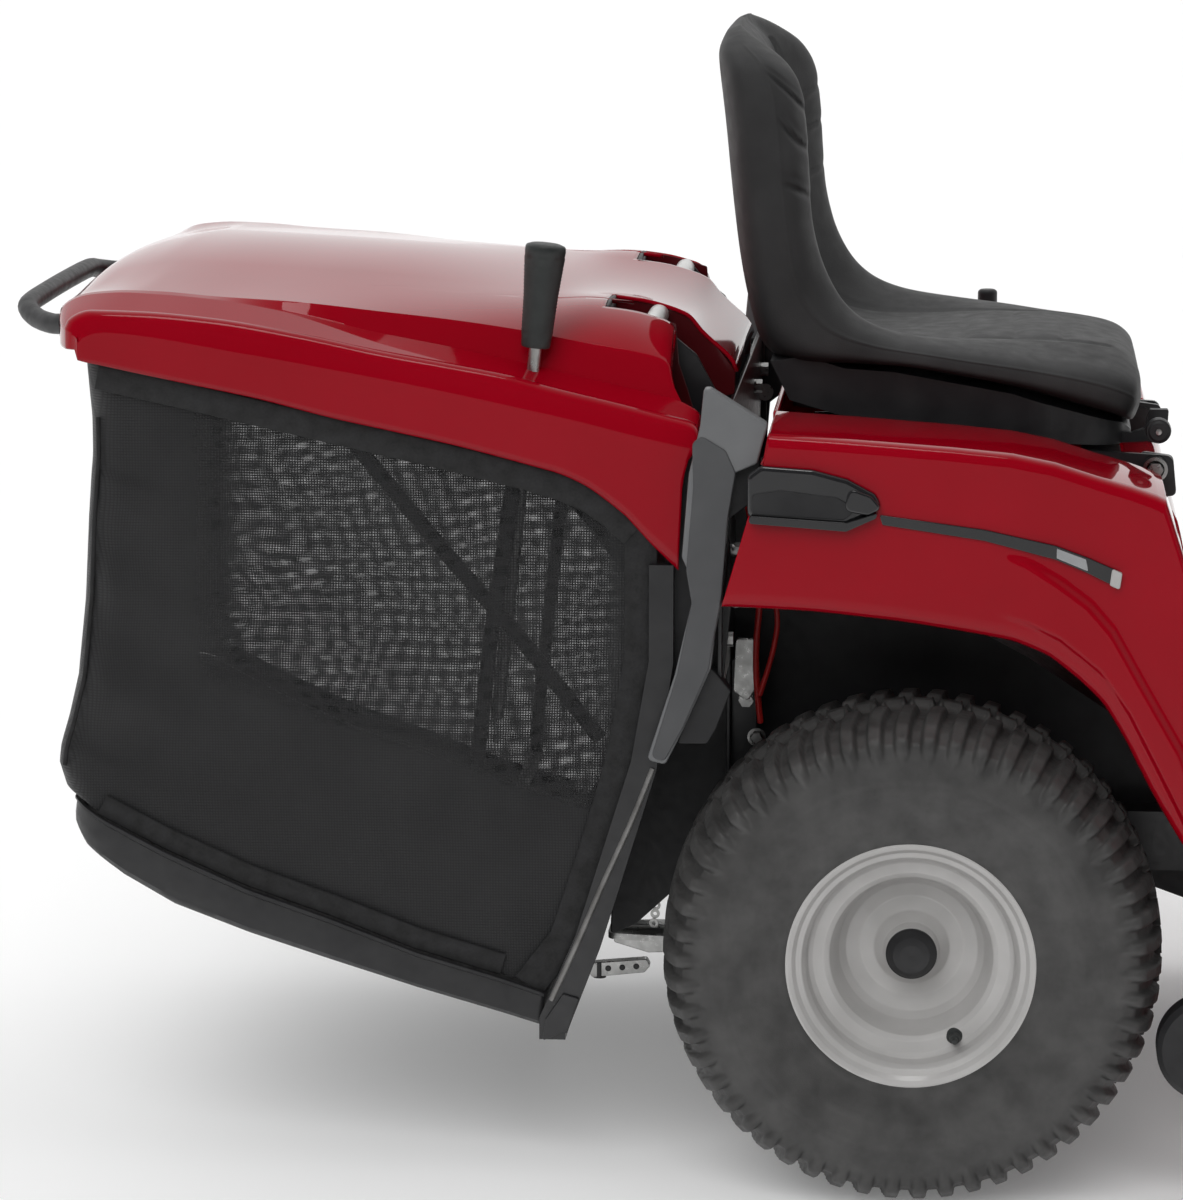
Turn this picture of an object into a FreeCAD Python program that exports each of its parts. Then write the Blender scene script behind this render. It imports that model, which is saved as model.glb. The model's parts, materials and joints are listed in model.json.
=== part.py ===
import FreeCAD, Part
import os, math

# Rear-collect riding lawn mower, 98 cm cut.
# Millimetres.  +X runs towards the bonnet, +Y to the driver's left, +Z up.
# The code measures X from the rear axle; everything is shifted by ORIGIN_X on
# export so that the origin lies on the ground under the middle of the machine.

# ---------------------------------------------------------------- dimensions
ORIGIN_X = 338.5
WHEELBASE = 1195.0
REAR_TYRE_R, REAR_TYRE_W, REAR_TRACK = 226.0, 215.0, 700.0     # 18 x 8.50 - 8
FRONT_TYRE_R, FRONT_TYRE_W, FRONT_TRACK = 190.0, 150.0, 770.0  # 15 x 6.00 - 6
REAR_RIM_R, FRONT_RIM_R = 114.0, 88.0
X_FRONT_END = 1532.0            # foremost point of the bumper
HANDLE_BAR_X, HANDLE_BAR_Z = -845.0, 779.0
TIP_X, TIP_Z = -247.0, 775.0    # collector tipping axis
SEAT_HINGE_X, SEAT_HINGE_Z = 217.0, 640.0
RAIL_Z0, RAIL_Z1 = 262.0, 318.0
PLATE_X0, PLATE_X1 = -178.0, -174.0
COLLECTOR_W = 750.0             # width over the cover
FENDER_W = 820.0
DECK_X, DECK_SPACING, BLADE_L = 560.0, 470.0, 510.0
DECK_TOP, DECK_BOTTOM = 190.0, 88.0
KINGPIN_Y, ARM_LEN = 290.0, 110.0
COLUMN_TILT = math.radians(20.0)
WHEEL_CX, WHEEL_CZ, STEER_R = 622.0, 1012.0, 188.0
HOOD_HINGE_X, HOOD_HINGE_Z = 1470.0, 440.0

V = FreeCAD.Vector
os.makedirs("parts", exist_ok=True)


# ------------------------------------------------------------------- helpers
def box(x0, x1, y0, y1, z0, z1):
    return Part.makeBox(x1 - x0, y1 - y0, z1 - z0, V(x0, y0, z0))


def cyl(p, d, r, h):
    return Part.makeCylinder(r, h, V(*p), V(*d))


def ring(p, d, ro, ri, h):
    return cyl(p, d, ro, h).cut(cyl(p, d, ri, h))


def outline(pts, to3, r=0.0):
    """Closed outline of straight edges with corners rounded to radius r."""
    n = len(pts)
    cuts = []
    for i in range(n):
        p = pts[i]
        a, b = pts[i - 1], pts[(i + 1) % n]
        rr = p[2] if len(p) > 2 else r
        ux, uy = a[0] - p[0], a[1] - p[1]
        vx, vy = b[0] - p[0], b[1] - p[1]
        lu, lv = math.hypot(ux, uy), math.hypot(vx, vy)
        ux, uy, vx, vy = ux / lu, uy / lu, vx / lv, vy / lv
        ang = math.acos(max(-1.0, min(1.0, ux * vx + uy * vy)))
        if rr <= 0 or ang > math.radians(176):
            cuts.append(None)
            continue
        t = min(rr / math.tan(ang / 2), 0.45 * lu, 0.45 * lv)
        rr = t * math.tan(ang / 2)
        s = (p[0] + ux * t, p[1] + uy * t)
        e = (p[0] + vx * t, p[1] + vy * t)
        bx, by = ux + vx, uy + vy
        lb = math.hypot(bx, by)
        k = rr / math.sin(ang / 2) - rr
        m = (p[0] + bx / lb * k, p[1] + by / lb * k)
        cuts.append((s, m, e))
    edges = []
    for i in range(n):
        c, d = cuts[i], cuts[(i + 1) % n]
        s = c[2] if c else pts[i][:2]
        e = d[0] if d else pts[(i + 1) % n][:2]
        if math.hypot(s[0] - e[0], s[1] - e[1]) > 1e-4:
            edges.append(Part.makeLine(to3(*s), to3(*e)))
        if d:
            edges.append(Part.Arc(to3(*d[0]), to3(*d[1]), to3(*d[2])).toShape())
    return Part.Wire(edges)


def prism(pts, y0, y1, r=0.0):
    """Side-view outline (x, z) extruded from y0 to y1."""
    f = Part.Face(outline(pts, lambda a, b: V(a, y0, b), r))
    return f.extrude(V(0, y1 - y0, 0))


def slab(pts, z0, z1, r=0.0):
    """Plan outline (x, y) extruded from z0 to z1."""
    f = Part.Face(outline(pts, lambda a, b: V(a, b, z0), r))
    return f.extrude(V(0, 0, z1 - z0))


def plate(pts, x0, x1, r=0.0):
    """Front-view outline (y, z) extruded from x0 to x1."""
    f = Part.Face(outline(pts, lambda a, b: V(x0, a, b), r))
    return f.extrude(V(x1 - x0, 0, 0))


def turned(prof, cx, cz, y0=0.0, s=1.0, r=0.0):
    """Section (radius, y) turned about the Y-parallel axis through (cx, cz)."""
    f = Part.Face(outline(prof, lambda a, b: V(cx + a, y0 + s * b, cz), r))
    return f.revolve(V(cx, y0, cz), V(0, 1, 0), 360)


def tube(points, r):
    """Round bar along straight runs with ball corners."""
    out = None
    for i in range(len(points) - 1):
        a, b = V(*points[i]), V(*points[i + 1])
        d = b.sub(a)
        c = Part.makeCylinder(r, d.Length, a, d)
        out = c if out is None else out.fuse(c)
        if i:
            out = out.fuse(Part.makeSphere(r, a))
    return out


def mir(s):
    return s.mirror(V(0, 0, 0), V(0, 1, 0))


def fuse(*s):
    o = s[0]
    for t in s[1:]:
        o = o.fuse(t)
    return o


def cut(a, *s):
    for t in s:
        a = a.cut(t)
    return a


def both(s):
    return [s, mir(s)]


def soften(s, r):
    """Round every edge of a simple block."""
    try:
        t = s.makeFillet(r, s.Edges)
        if t.isValid() and t.Volume > 0:
            return t
    except Exception:
        pass
    return s


NODES = {}


def save(name, *shapes):
    solids = []
    for s in shapes:
        solids += s.Solids
    c = Part.makeCompound(solids) if len(solids) > 1 else solids[0]
    c.translate(V(-ORIGIN_X, 0, 0))
    c.exportStep("parts/%s.step" % name)
    NODES[name] = c


# ------------------------------------------------------------------- chassis
def rail(y0, y1, x0, x1, open_in):
    s = box(x0, x1, y0, y1, RAIL_Z0, RAIL_Z1)
    lo, hi = (y0 - 1, y1 - 4) if open_in else (y0 + 4, y1 + 1)
    return s.cut(box(x0, x1, lo, hi, RAIL_Z0 + 4, RAIL_Z1 - 4))


rear_rail = rail(170, 205, PLATE_X1, 640, True)
front_rail = rail(120, 150, 600, 1440, True)
step_plate = box(600, 640, 120, 205, RAIL_Z0, RAIL_Z0 + 4).fuse(box(600, 604, 120, 205, RAIL_Z0, RAIL_Z1))
half = fuse(rear_rail, front_rail, step_plate)
cross = [box(600, 604, -205, 205, RAIL_Z0, RAIL_Z1), box(1436, 1440, -150, 150, RAIL_Z0, RAIL_Z1),
         box(1150, 1160, -150, 150, RAIL_Z0, RAIL_Z1), box(1230, 1240, -150, 150, RAIL_Z0, RAIL_Z1)]
# hanger plates that carry the front axle's oscillation pin
for x in (1150, 1230):
    cross.append(plate([(-45, 300), (45, 300), (30, 216), (-30, 216)], x, x + 10, 6))
pivot_pin = cyl((1146, 0, 238), (1, 0, 0), 10, 98)
engine_base = box(985, 1320, -150, 150, RAIL_Z1, RAIL_Z1 + 6)
hinge_posts = [prism([(1436, 300), (1440, 300), (1440, 318), (1452, 390), (1486, 432), (1486, 452), (1460, 454), (1424, 380), (1424, 300)], y, y + 8, 4)
               for y in (92, -100)]
hood_pins = [cyl((HOOD_HINGE_X, 88, HOOD_HINGE_Z), (0, 1, 0), 6, 42), cyl((HOOD_HINGE_X, -130, HOOD_HINGE_Z), (0, 1, 0), 6, 42)]
# steering gear case with the bushes of the column and of the pitman shaft
gear_case = soften(box(838, 900, -46, 46, 316, 372), 8)
save("frame_rails", fuse(half, mir(half), *cross, pivot_pin, engine_base, *hinge_posts, *hood_pins,
                         box(604, 985, -150, -120, RAIL_Z1 - 4, RAIL_Z1), box(820, 920, -150, 150, RAIL_Z1 - 4, RAIL_Z1), gear_case)
     .cut(cyl((870, 0, 340), (0, 0, 1), 9.05, 60)))

# rear bulkhead, with the discharge opening and the two tipping arms
bulk = fuse(box(PLATE_X0, PLATE_X1, -225, 225, 262, 470), box(PLATE_X0, PLATE_X1, -378.8, 378.8, 460, 700))
bulk = cut(bulk, box(-200, -150, -146, 146, 344, 592))
arm_pts = [(-178, 610), (-178, 700), (-222, 786), (-247, 797), (-268, 788), (-268, 764), (-252, 752), (-226, 742), (-196, 640)]
arms = [prism(arm_pts, y, y + 8, 7).cut(cyl((TIP_X, y - 1, TIP_Z), (0, 1, 0), 9.56, 10)) for y in (241, -249)]
side_webs = [box(PLATE_X1, -150, y, y + 4, 262, 460) for y in (205, -209)]
save("rear_plate", fuse(bulk, *arms, *side_webs))

# charcoal trims either side of the collector mouth
bez = [(-188, 738), (-184, 738.5), (-133, 707), (-142, 672), (-163, 663), (-168, 622), (-173.5, 547), (-179.5, 515),
       (-182.5, 486), (-206, 432), (-223, 397), (-240, 401), (-215, 479.5), (-200, 546), (-199, 571), (-204, 587), (-199, 662), (-189, 706)]
bezel = prism(bez, -398, -379, 3)
foot = box(-174, -142, -383, -379, 465, 668)
bezel = fuse(bezel, foot, prism([(-174, 466), (-150, 466), (-150, 500), (-174, 500)], -396, -379))
save("rear_bezel", *both(bezel))

# ----------------------------------------------------------- fender moulding
f_top = [(-171, 548), (-163, 628), (-135, 676), (-131, 700), (-62, 695), (30, 688.5), (100, 682), (122, 676), (168, 662),
         (208, 649), (220, 644), (235.5, 597), (262, 480), (288, 326)]
f_arch = [(241, 326), (241, 333), (213, 379.5), (187, 430), (168, 461), (143, 485), (118.5, 504), (88, 516), (48, 523), (-11, 532), (-91, 540)]
outer = prism(f_top + f_arch, -410, 410)
recess = box(-129, 330, -250, 250, 612, 760)
outer = outer.cut(recess)
inner_top = [(-166, 300), (-166, 547), (-158, 627), (-130, 675), (-127, 695), (-62, 690), (30, 683.5), (99, 677), (120, 671), (166, 657),
             (205, 645), (215, 641), (230.5, 596), (257, 479), (283, 320), (283, 300)]
inner = prism(inner_top, -405, 405).cut(box(-134, 330, -255, 255, 607, 760))
fender = outer.cut(inner)
# open behind, where the bulkhead, duct and trims stand, and below the apron for the duct
fender = cut(fender, box(-190, -120, -400, 400, 250, 669), box(150, 330, -156, 156, 300, 384))
# the bottom edge of the front apron, the seat lugs and the lift lever's slot
lug = [prism([(196, 612), (238, 612), (234, 650), (204, 654)], y, y + 8, 4).cut(cyl((SEAT_HINGE_X, y - 1, SEAT_HINGE_Z), (0, 1, 0), 8.06, 10)) for y in (166, -174)]
lever_ears = [prism([(30, 684), (90, 678), (78, 600), (42, 600)], y, y + 5, 5).cut(cyl((60, y - 1, 616), (0, 1, 0), 6.06, 7)) for y in (318, 338)]
fender = fuse(fender, *lug, *lever_ears)
fender = cut(fender, slab([(40, 324.5), (126, 324.5), (126, 336.5), (40, 336.5)], 655, 720, 5))
save("rear_fender", fender)

vent = prism([(-150, 626), (-150, 664), (-138, 673), (-92, 670), (-61, 662), (-36.5, 649), (-30, 637), (-62, 621)], -419, -410.2, 4)
save("fender_vents", *both(vent))
inlay = prism([(-28, 630), (60, 618), (123, 604), (178, 581), (176, 568), (123, 592), (60, 608), (-26, 621)], -413.4, -410.2)
save("fender_inlays", *both(inlay))

# ------------------------------------------------------------ discharge duct
duct_o = [(300, 206), (104, 276), (PLATE_X1, 336), (PLATE_X1, 600), (104, 452), (300, 322)]
duct_i = [(301, 210), (106, 280), (PLATE_X1 - 1, 340.5), (PLATE_X1 - 1, 595.5), (104, 447), (301, 317.5)]
save("discharge_chute", prism(duct_o, -150, 150).cut(prism(duct_i, -146, 146)))

# ------------------------------------------------------------------ transaxle
case = fuse(soften(box(-96, 74, -92, 92, 150, 262), 10), cyl((0, -168, 226), (0, 1, 0), 30, 336), box(-60, 60, -168, -160, 226, RAIL_Z0),
            box(-60, 60, 160, 168, 226, RAIL_Z0), cyl((40, 0, 262), (0, 0, 1), 16, 10))
case = cut(case, box(-88, 66, -84, 84, 158, 252), cyl((0, -200, 226), (0, 1, 0), 10.05, 400))
save("transaxle", case)

# ------------------------------------------------------------- rear wheels
tyre_sec = [(99.3, 74.5), (103.5, 84.4), (114.3, 87), (118, 94), (150, 105), (180, 107.5), (204, 101), (217, 88), (224, 60), (226, 20), (226, -20), (224, -60), (217, -88),
            (204, -101), (180, -107.5), (150, -105), (118, -94), (114.3, -87), (103.5, -84.4), (99.3, -74.5), (99.3, -64), (112, -76), (150, -95), (180, -98), (200, -92), (209, -78), (214, -50),
            (215, 0), (214, 50), (209, 78), (200, 92), (180, 98), (150, 95), (112, 76), (99.3, 64)]
# dished disc wheel: section (radius, offset outwards from the wheel's middle plane)
rim_sec = [(114, 88), (114, 91.5), (108, 92), (99, 84), (94, 62), (84, 56), (74, 55), (66, 24), (46, 16), (30, 22), (22, 44), (10.02, 44), (10.02, -10), (20, -10),
           (20, 12), (34, 10), (48, 6), (72, 14), (82, 48), (90, 50), (94, 44), (94, -80), (101, -91.5), (114, -91.5), (114, -88), (103, -86), (99, -78), (99, 76), (104, 86)]


def wheel(sec, cx, cz, side, track):
    return turned(sec, cx, cz, side * track / 2.0, side)


for name, side in (("right", -1), ("left", 1)):
    save("rear_tyre_" + name, turned(tyre_sec, 0, REAR_TYRE_R, side * REAR_TRACK / 2, side))
    save("rear_rim_" + name, turned(rim_sec, 0, REAR_TYRE_R, side * REAR_TRACK / 2, side))
    y0 = 96.0 if side > 0 else -388.0
    shaft = cyl((0, y0, 226), (0, 1, 0), 10, 292)
    cap_y = side * 394.4
    cap = turned([(0.0, 0), (22, 0), (22, 4), (17, 8), (0.0, 9)], 0, 226, cap_y, side)
    washer = cyl((0, side * 394.4, 226), (0, side, 0), 9.0, 1)
    nut = cyl((0, side * 388, 226), (0, side, 0), 9.0, 6.4)
    save("rear_axle_shaft_" + name, fuse(shaft, nut, cap))

# ------------------------------------------------------------ front axle set
beam = plate([(-290, 214), (-290, 242), (-120, 246), (-60, 254), (60, 254), (120, 246), (290, 242), (290, 214), (120, 216), (60, 214), (-60, 214), (-120, 216)],
             1172, 1218, 6)
beam = fuse(beam, cyl((WHEELBASE, KINGPIN_Y, 212), (0, 0, 1), 16, 34), cyl((WHEELBASE, -KINGPIN_Y, 212), (0, 0, 1), 16, 34))
beam = cut(beam, cyl((1160, 0, 238), (1, 0, 0), 10.06, 70), cyl((WHEELBASE, KINGPIN_Y, 200), (0, 0, 1), 10.06, 80),
           cyl((WHEELBASE, -KINGPIN_Y, 200), (0, 0, 1), 10.06, 80))
save("front_axle_beam", beam)

f_tyre = [(75.3, 48.5), (78.8, 58.4), (88.3, 60.8), (92, 66), (104, 71), (130, 75), (158, 72), (176, 60), (186, 40), (190, 14), (190, -14), (186, -40), (176, -60), (158, -72), (130, -75), (104, -71),
          (92, -66), (88.3, -60.8), (78.8, -58.4), (75.3, -48.5), (75.3, -40), (86, -50), (128, -66), (154, -63), (168, -52), (177, -34), (180, 0), (177, 34), (168, 52), (154, 63), (128, 66), (86, 50), (75.3, 40)]
f_rim = [(88, 61.5), (88, 65.5), (83, 66), (75, 58), (71, 40), (60, 36), (50, 18), (30, 14), (20, 30), (8.06, 30), (8.06, -30), (17, -30), (17, 4), (34, 4), (54, 8),
         (64, 28), (70, 30), (71, -54), (77, -65.5), (88, -65.5), (88, -61.5), (78, -60), (75, -52), (75, 50), (79, 60)]
for name, side in (("right", -1), ("left", 1)):
    ky = side * KINGPIN_Y
    save("front_tyre_" + name, turned(f_tyre, WHEELBASE, FRONT_TYRE_R, side * FRONT_TRACK / 2, side))
    save("front_rim_" + name, turned(f_rim, WHEELBASE, FRONT_TYRE_R, side * FRONT_TRACK / 2, side))
    king = fuse(cyl((WHEELBASE, ky, 208), (0, 0, 1), 10, 50), box(WHEELBASE - 16, WHEELBASE + 16, ky - 16, ky + 16, 174, 211.6), cyl((WHEELBASE, ky, 246.4), (0, 0, 1), 16, 10))
    stub = fuse(cyl((WHEELBASE, ky + side * 14, 190), (0, side, 0), 8, 116), cyl((WHEELBASE, ky + side * 14, 190), (0, side, 0), 14, 49.6), cyl((WHEELBASE, ky + side * 125.6, 190), (0, side, 0), 13, 6))
    arm = slab([(WHEELBASE - 8, ky - 12), (WHEELBASE - 8, ky + 12), (WHEELBASE - 20, ky + 12), (WHEELBASE - ARM_LEN - 11, ky + 11),
                (WHEELBASE - ARM_LEN - 11, ky - 11), (WHEELBASE - 20, ky - 12)], 178, 184, 8)
    pin = cyl((WHEELBASE - ARM_LEN, ky, 180), (0, 0, 1), 6, 40)
    if side > 0:
        spindle = fuse(king, stub, arm, pin)
    else:
        spindle = fuse(king, stub, arm)
    save("spindle_" + name, spindle)
# track rod: turns on the left arm's pin, ends over the right arm
xr = WHEELBASE - ARM_LEN
rod = fuse(cyl((xr, -278, 205), (0, 1, 0), 6, 556), cyl((xr, KINGPIN_Y, 198), (0, 0, 1), 13, 14), cyl((xr, -KINGPIN_Y, 198), (0, 0, 1), 13, 14))
save("tie_rod", rod.cut(cyl((xr, KINGPIN_Y, 190), (0, 0, 1), 6.06, 30)))

# ---------------------------------------------------------------- bodywork
floor = slab([(284, -425), (284, 425), (760, 425), (900, 400), (930, 350), (930, -350), (900, -400), (760, -425)], RAIL_Z1, RAIL_Z1 + 4, 30)
floor = cut(floor, box(640, 1000, -112, 112, 300, 340), box(260, 560, -160, 160, 300, 340))
ped = []
for y in (236, 248, -242, -254):
    ped.append(prism([(700, 322), (740, 322), (730, 362), (710, 362)], y, y + 6, 5).cut(cyl((720, y - 1, 350), (0, 1, 0), 7.06, 8)))
floor = fuse(floor, *ped)
save("floor_pan", floor)

dash_o = [(585, 322), (575, 560), (585, 800), (592, 846), (612, 872), (742, 878), (762, 868), (762, 322)]
dash_i = [(589, 318), (579, 560), (589, 799), (596, 843), (614, 868), (741, 874), (764, 864), (764, 318)]
dash = prism(dash_o, -212, 212, 8).cut(prism(dash_i, -208, 208, 5))
dash = cut(dash, box(560, 760, -300, 300, 318, 322))
sa = V(math.sin(-COLUMN_TILT), 0, math.cos(COLUMN_TILT))
sc = V(WHEEL_CX, 0, WHEEL_CZ)
dash = dash.cut(Part.makeCylinder(19, 300, sc - sa * 260, sa))
dash = cut(dash, cyl((700, -120, 860), (0, 0, 1), 8.06, 30), cyl((700, 120, 860), (0, 0, 1), 10.06, 30), slab([(625, 162), (695, 162), (695, 172), (625, 172)], 860, 890, 4))
t_ear = [box(646, 674, y, y + 5, 838, 872.5).cut(cyl((660, y - 1, 848), (0, 1, 0), 4.06, 7)) for y in (152, 177)]
dash = fuse(dash, *t_ear)
save("dashboard", dash)

# steering column and wheel
shaft = Part.makeCylinder(9, 655, sc - sa * 655, sa)
boot = Part.makeCone(18, 12, 60, sc - sa * 138, sa)
low = sc - sa * 655
save("steering_shaft", fuse(shaft, boot).cut(Part.makeCylinder(9.0, 40, sc - sa * 12, sa)))


def steer_part(s):
    s.rotate(V(0, 0, 0), V(0, 1, 0), -math.degrees(COLUMN_TILT))
    s.translate(sc)
    return s


rim_t = Part.makeTorus(STEER_R - 13, 13)
hub = fuse(cyl((0, 0, -30), (0, 0, 1), 34, 34), cyl((0, 0, -30), (0, 0, 1), 9.0, 1))
spokes = [box(20, STEER_R - 14, -16, 16, -14, -4)]
for a in (0, 135, 225):
    s = box(24, STEER_R - 15, -15, 15, -12, -2)
    s.rotate(V(0, 0, 0), V(0, 0, 1), a + 180)
    spokes.append(s)
sw = fuse(rim_t, hub, *spokes[1:]).cut(cyl((0, 0, -60), (0, 0, 1), 9.0, 48))
save("steering_wheel", steer_part(sw))

# -------------------------------------------------------------------- engine
crank = fuse(soften(box(1000, 1280, -130, 130, 324.2, 520), 18), cyl((1145, 0, 520), (0, 0, 1), 118, 60), soften(box(1235, 1360, -70, 70, 390, 500), 8),
             cyl((1372, 0, 445), (0, -1, 0), 46, 10), cyl((1385, -95, 450), (0, 1, 0), 44, 190))
crank = cut(crank, box(1014, 1266, -116, 116, 340, 506), cyl((1385, -85, 450), (0, 1, 0), 38, 170), box(1262, 1330, -58, 58, 402, 488))
save("engine_block", crank)
shroud = cyl((1145, 0, 580.2), (0, 0, 1), 148, 80).cut(cyl((1145, 0, 570), (0, 0, 1), 142, 78))
dome = cyl((1145, 0, 660.2), (0, 0, 1), 70, 18)
save("engine_shroud", fuse(shroud, dome))

# bonnet
h_o = [(774, 884), (980, 884), (1200, 868), (1360, 836), (1452, 780), (1496, 700), (1512, 600), (1512, 452), (1120, 456), (1070, 500), (774, 520)]
h_i = [(770, 880), (980, 880), (1199, 864), (1358, 832), (1449, 777), (1492, 699), (1508, 600), (1508, 440), (1110, 440), (1080, 440), (770, 440)]
hood = prism(h_o, -250, 250)
crownc = plate([(-250, 440), (-250, 762), (-238, 806), (-206, 844), (-150, 870), (0, 890), (150, 870), (206, 844), (238, 806), (250, 762), (250, 440)], 760, 1530)
crowni = plate([(-246, 430), (-246, 761), (-234, 804), (-204, 840), (-149, 866), (0, 886), (149, 866), (204, 840), (234, 804), (246, 761), (246, 430)], 750, 1540)
plan = slab([(760, -250), (1372, -250), (1432, -226), (1482, -186), (1508, -132), (1512, -60), (1512, 60), (1508, 132), (1482, 186), (1432, 226), (1372, 250), (760, 250)], 430, 900)
plani = slab([(750, -246), (1371, -246), (1430, -222.5), (1479, -183.5), (1504, -131), (1508, -59.5), (1508, 59.5), (1504, 131), (1479, 183.5), (1430, 222.5), (1371, 246), (750, 246)], 420, 910)
hood = hood.common(crownc).common(plan)
hood_in = prism(h_i, -246, 246).common(crowni).common(plani)
hood = hood.cut(hood_in)
hood = hood.cut(box(1480, 1540, -116, 116, 480, 640))
lugs = [prism([(1506.5, 458), (1506.5, 500), (1480, 500), (1456, 450), (1458, 430), (1482, 430)], y, y + 6, 6).cut(cyl((HOOD_HINGE_X, y - 1, HOOD_HINGE_Z), (0, 1, 0), 6.06, 8)) for y in (120, -126)]
hood = fuse(hood, *lugs)
save("hood_shell", hood)
grille = box(1502.5, 1507.5, -115.5, 115.5, 480.5, 639.5)
for k in range(7):
    z = 494 + 20 * k
    grille = grille.cut(box(1500, 1510, -106, 106, z, z + 9))
save("hood_grille", grille)
bump = tube([(1451, -140, 294), (1500, -170, 330), (1522, -190, 366), (1522, 190, 366), (1500, 170, 330), (1451, 140, 294)], 10)
bump = fuse(bump, box(1440, 1452, -150, -120, 268, 312), box(1440, 1452, 120, 150, 268, 312))
save("front_bumper", bump)

# ------------------------------------------------------------- cutting deck
R = BLADE_L / 2 + 14
half_s = DECK_SPACING / 2


def twin(r, z0, z1):
    return fuse(cyl((DECK_X, half_s, z0), (0, 0, 1), r, z1 - z0), cyl((DECK_X, -half_s, z0), (0, 0, 1), r, z1 - z0),
                box(DECK_X - r * 0.72, DECK_X + r * 0.72, -half_s, half_s, z0, z1))


deck = twin(R, DECK_BOTTOM, DECK_TOP).cut(twin(R - 4, DECK_BOTTOM - 1, DECK_TOP - 4))
tunnel = box(314, DECK_X - 120, -144, 144, DECK_BOTTOM + 14, DECK_TOP)
deck = deck.fuse(tunnel.cut(twin(R - 4, DECK_BOTTOM - 1, DECK_TOP - 4)))
deck = cut(deck, box(300, DECK_X - 110, -140, 140, DECK_BOTTOM + 18, DECK_TOP - 4))
hangers = []
for s in (1, -1):
    b = [prism([(254, 140), (284, 140), (330, 168), (400, 186), (400, 190), (330, 190), (254, 172)], y, y + 4, 3) for y in (409, 447)] if s > 0 else \
        [prism([(254, 140), (284, 140), (330, 168), (400, 186), (400, 190), (330, 190), (254, 172)], y, y + 4, 3) for y in (-413, -451)]
    ybr0, ybr1 = (409, 451) if s > 0 else (-451, -409)
    hangers += b + [box(322, 440, ybr0, ybr1, 186, 190)]
    hangers.append(cyl((268, ybr0, 155), (0, 1, 0), 7, 42))
    hangers.append(cyl((DECK_X, s * half_s, DECK_TOP), (0, 0, 1), 32, 30))
    hangers.append(cyl((DECK_X, s * half_s, DECK_TOP), (0, 0, 1), 50, 5))
deck = fuse(deck, *hangers)
for s in (1, -1):
    deck = deck.cut(cyl((DECK_X, s * half_s, 150), (0, 0, 1), 12.06, 90))
save("deck_shell", deck)
cover = slab([(470, -300), (650, -300), (680, 0), (650, 300), (470, 300), (440, 0)], 221, 240, 40)
cover = cut(cover, slab([(474, -296), (646, -296), (676, 0), (646, 296), (474, 296), (444, 0)], 220, 237, 38),
            *[cyl((DECK_X, s * half_s, 210), (0, 0, 1), 20, 40) for s in (1, -1)])
feet = [box(480, 500, y, y + 20, 190.2, 222) for y in (-294, 274)] + [box(620, 640, y, y + 20, 190.2, 222) for y in (-294, 274)]
save("deck_belt_cover", fuse(cover, *feet))
for name, side in (("right", -1), ("left", 1)):
    y = side * half_s
    if side < 0:
        bar = slab([(DECK_X - 25, y - BLADE_L / 2), (DECK_X + 25, y - BLADE_L / 2), (DECK_X + 25, y + BLADE_L / 2), (DECK_X - 25, y + BLADE_L / 2)], 104, 108, 4)
    else:
        bar = slab([(DECK_X - BLADE_L / 2, y - 25), (DECK_X + BLADE_L / 2, y - 25), (DECK_X + BLADE_L / 2, y + 25), (DECK_X - BLADE_L / 2, y + 25)], 104, 108, 4)
    sh = fuse(cyl((DECK_X, y, 98), (0, 0, 1), 12, 134), cyl((DECK_X, y, 98), (0, 0, 1), 26, 40))
    save("blade_" + name, fuse(bar, sh))
for name, side in (("right", -1), ("left", 1)):
    w = turned([(7.06, -16), (30, -17), (43, -17), (48, -12), (48, 12), (43, 17), (30, 17), (7.06, 16)], 268, 155, side * 430, side)
    save("deck_wheel_" + name, w)

# ---------------------------------------------------------------- collector
sections = [  # x: heights at y = 0, 150, 300, 345, 368, 375
    (-800, 800, 797, 786, 778, 770, 764), (-760, 817, 813, 803, 797, 789, 776), (-700, 825, 822, 808, 801, 792, 778), (-600, 822, 818, 802, 793, 781, 765),
    (-500, 817, 812, 793, 780, 765, 748), (-400, 805, 800, 782, 762, 745, 728), (-300, 790, 786, 768, 742, 724, 706), (-240, 779, 775, 757, 724, 706, 690), (-168, 731, 728, 704, 694, 680, 664)]
ys = (0, 150, 300, 345, 368, 375)


def section_wire(x, h, drop, inset, base):
    pts = [V(x, -(COLLECTOR_W / 2 - inset), base)]
    for y, z in zip(reversed(ys), reversed(h)):
        yy = min(y, COLLECTOR_W / 2 - inset) if y > 360 else y
        if y == 375:
            yy = COLLECTOR_W / 2 - inset
        if y == 368:
            yy = 368 - inset
        pts.append(V(x, -yy, z - drop))
    for y, z in list(zip(ys, h))[1:]:
        yy = y
        if y == 375:
            yy = COLLECTOR_W / 2 - inset
        if y == 368:
            yy = 368 - inset
        pts.append(V(x, yy, z - drop))
    pts.append(V(x, COLLECTOR_W / 2 - inset, base))
    return Part.makePolygon(pts + [pts[0]])


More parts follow.
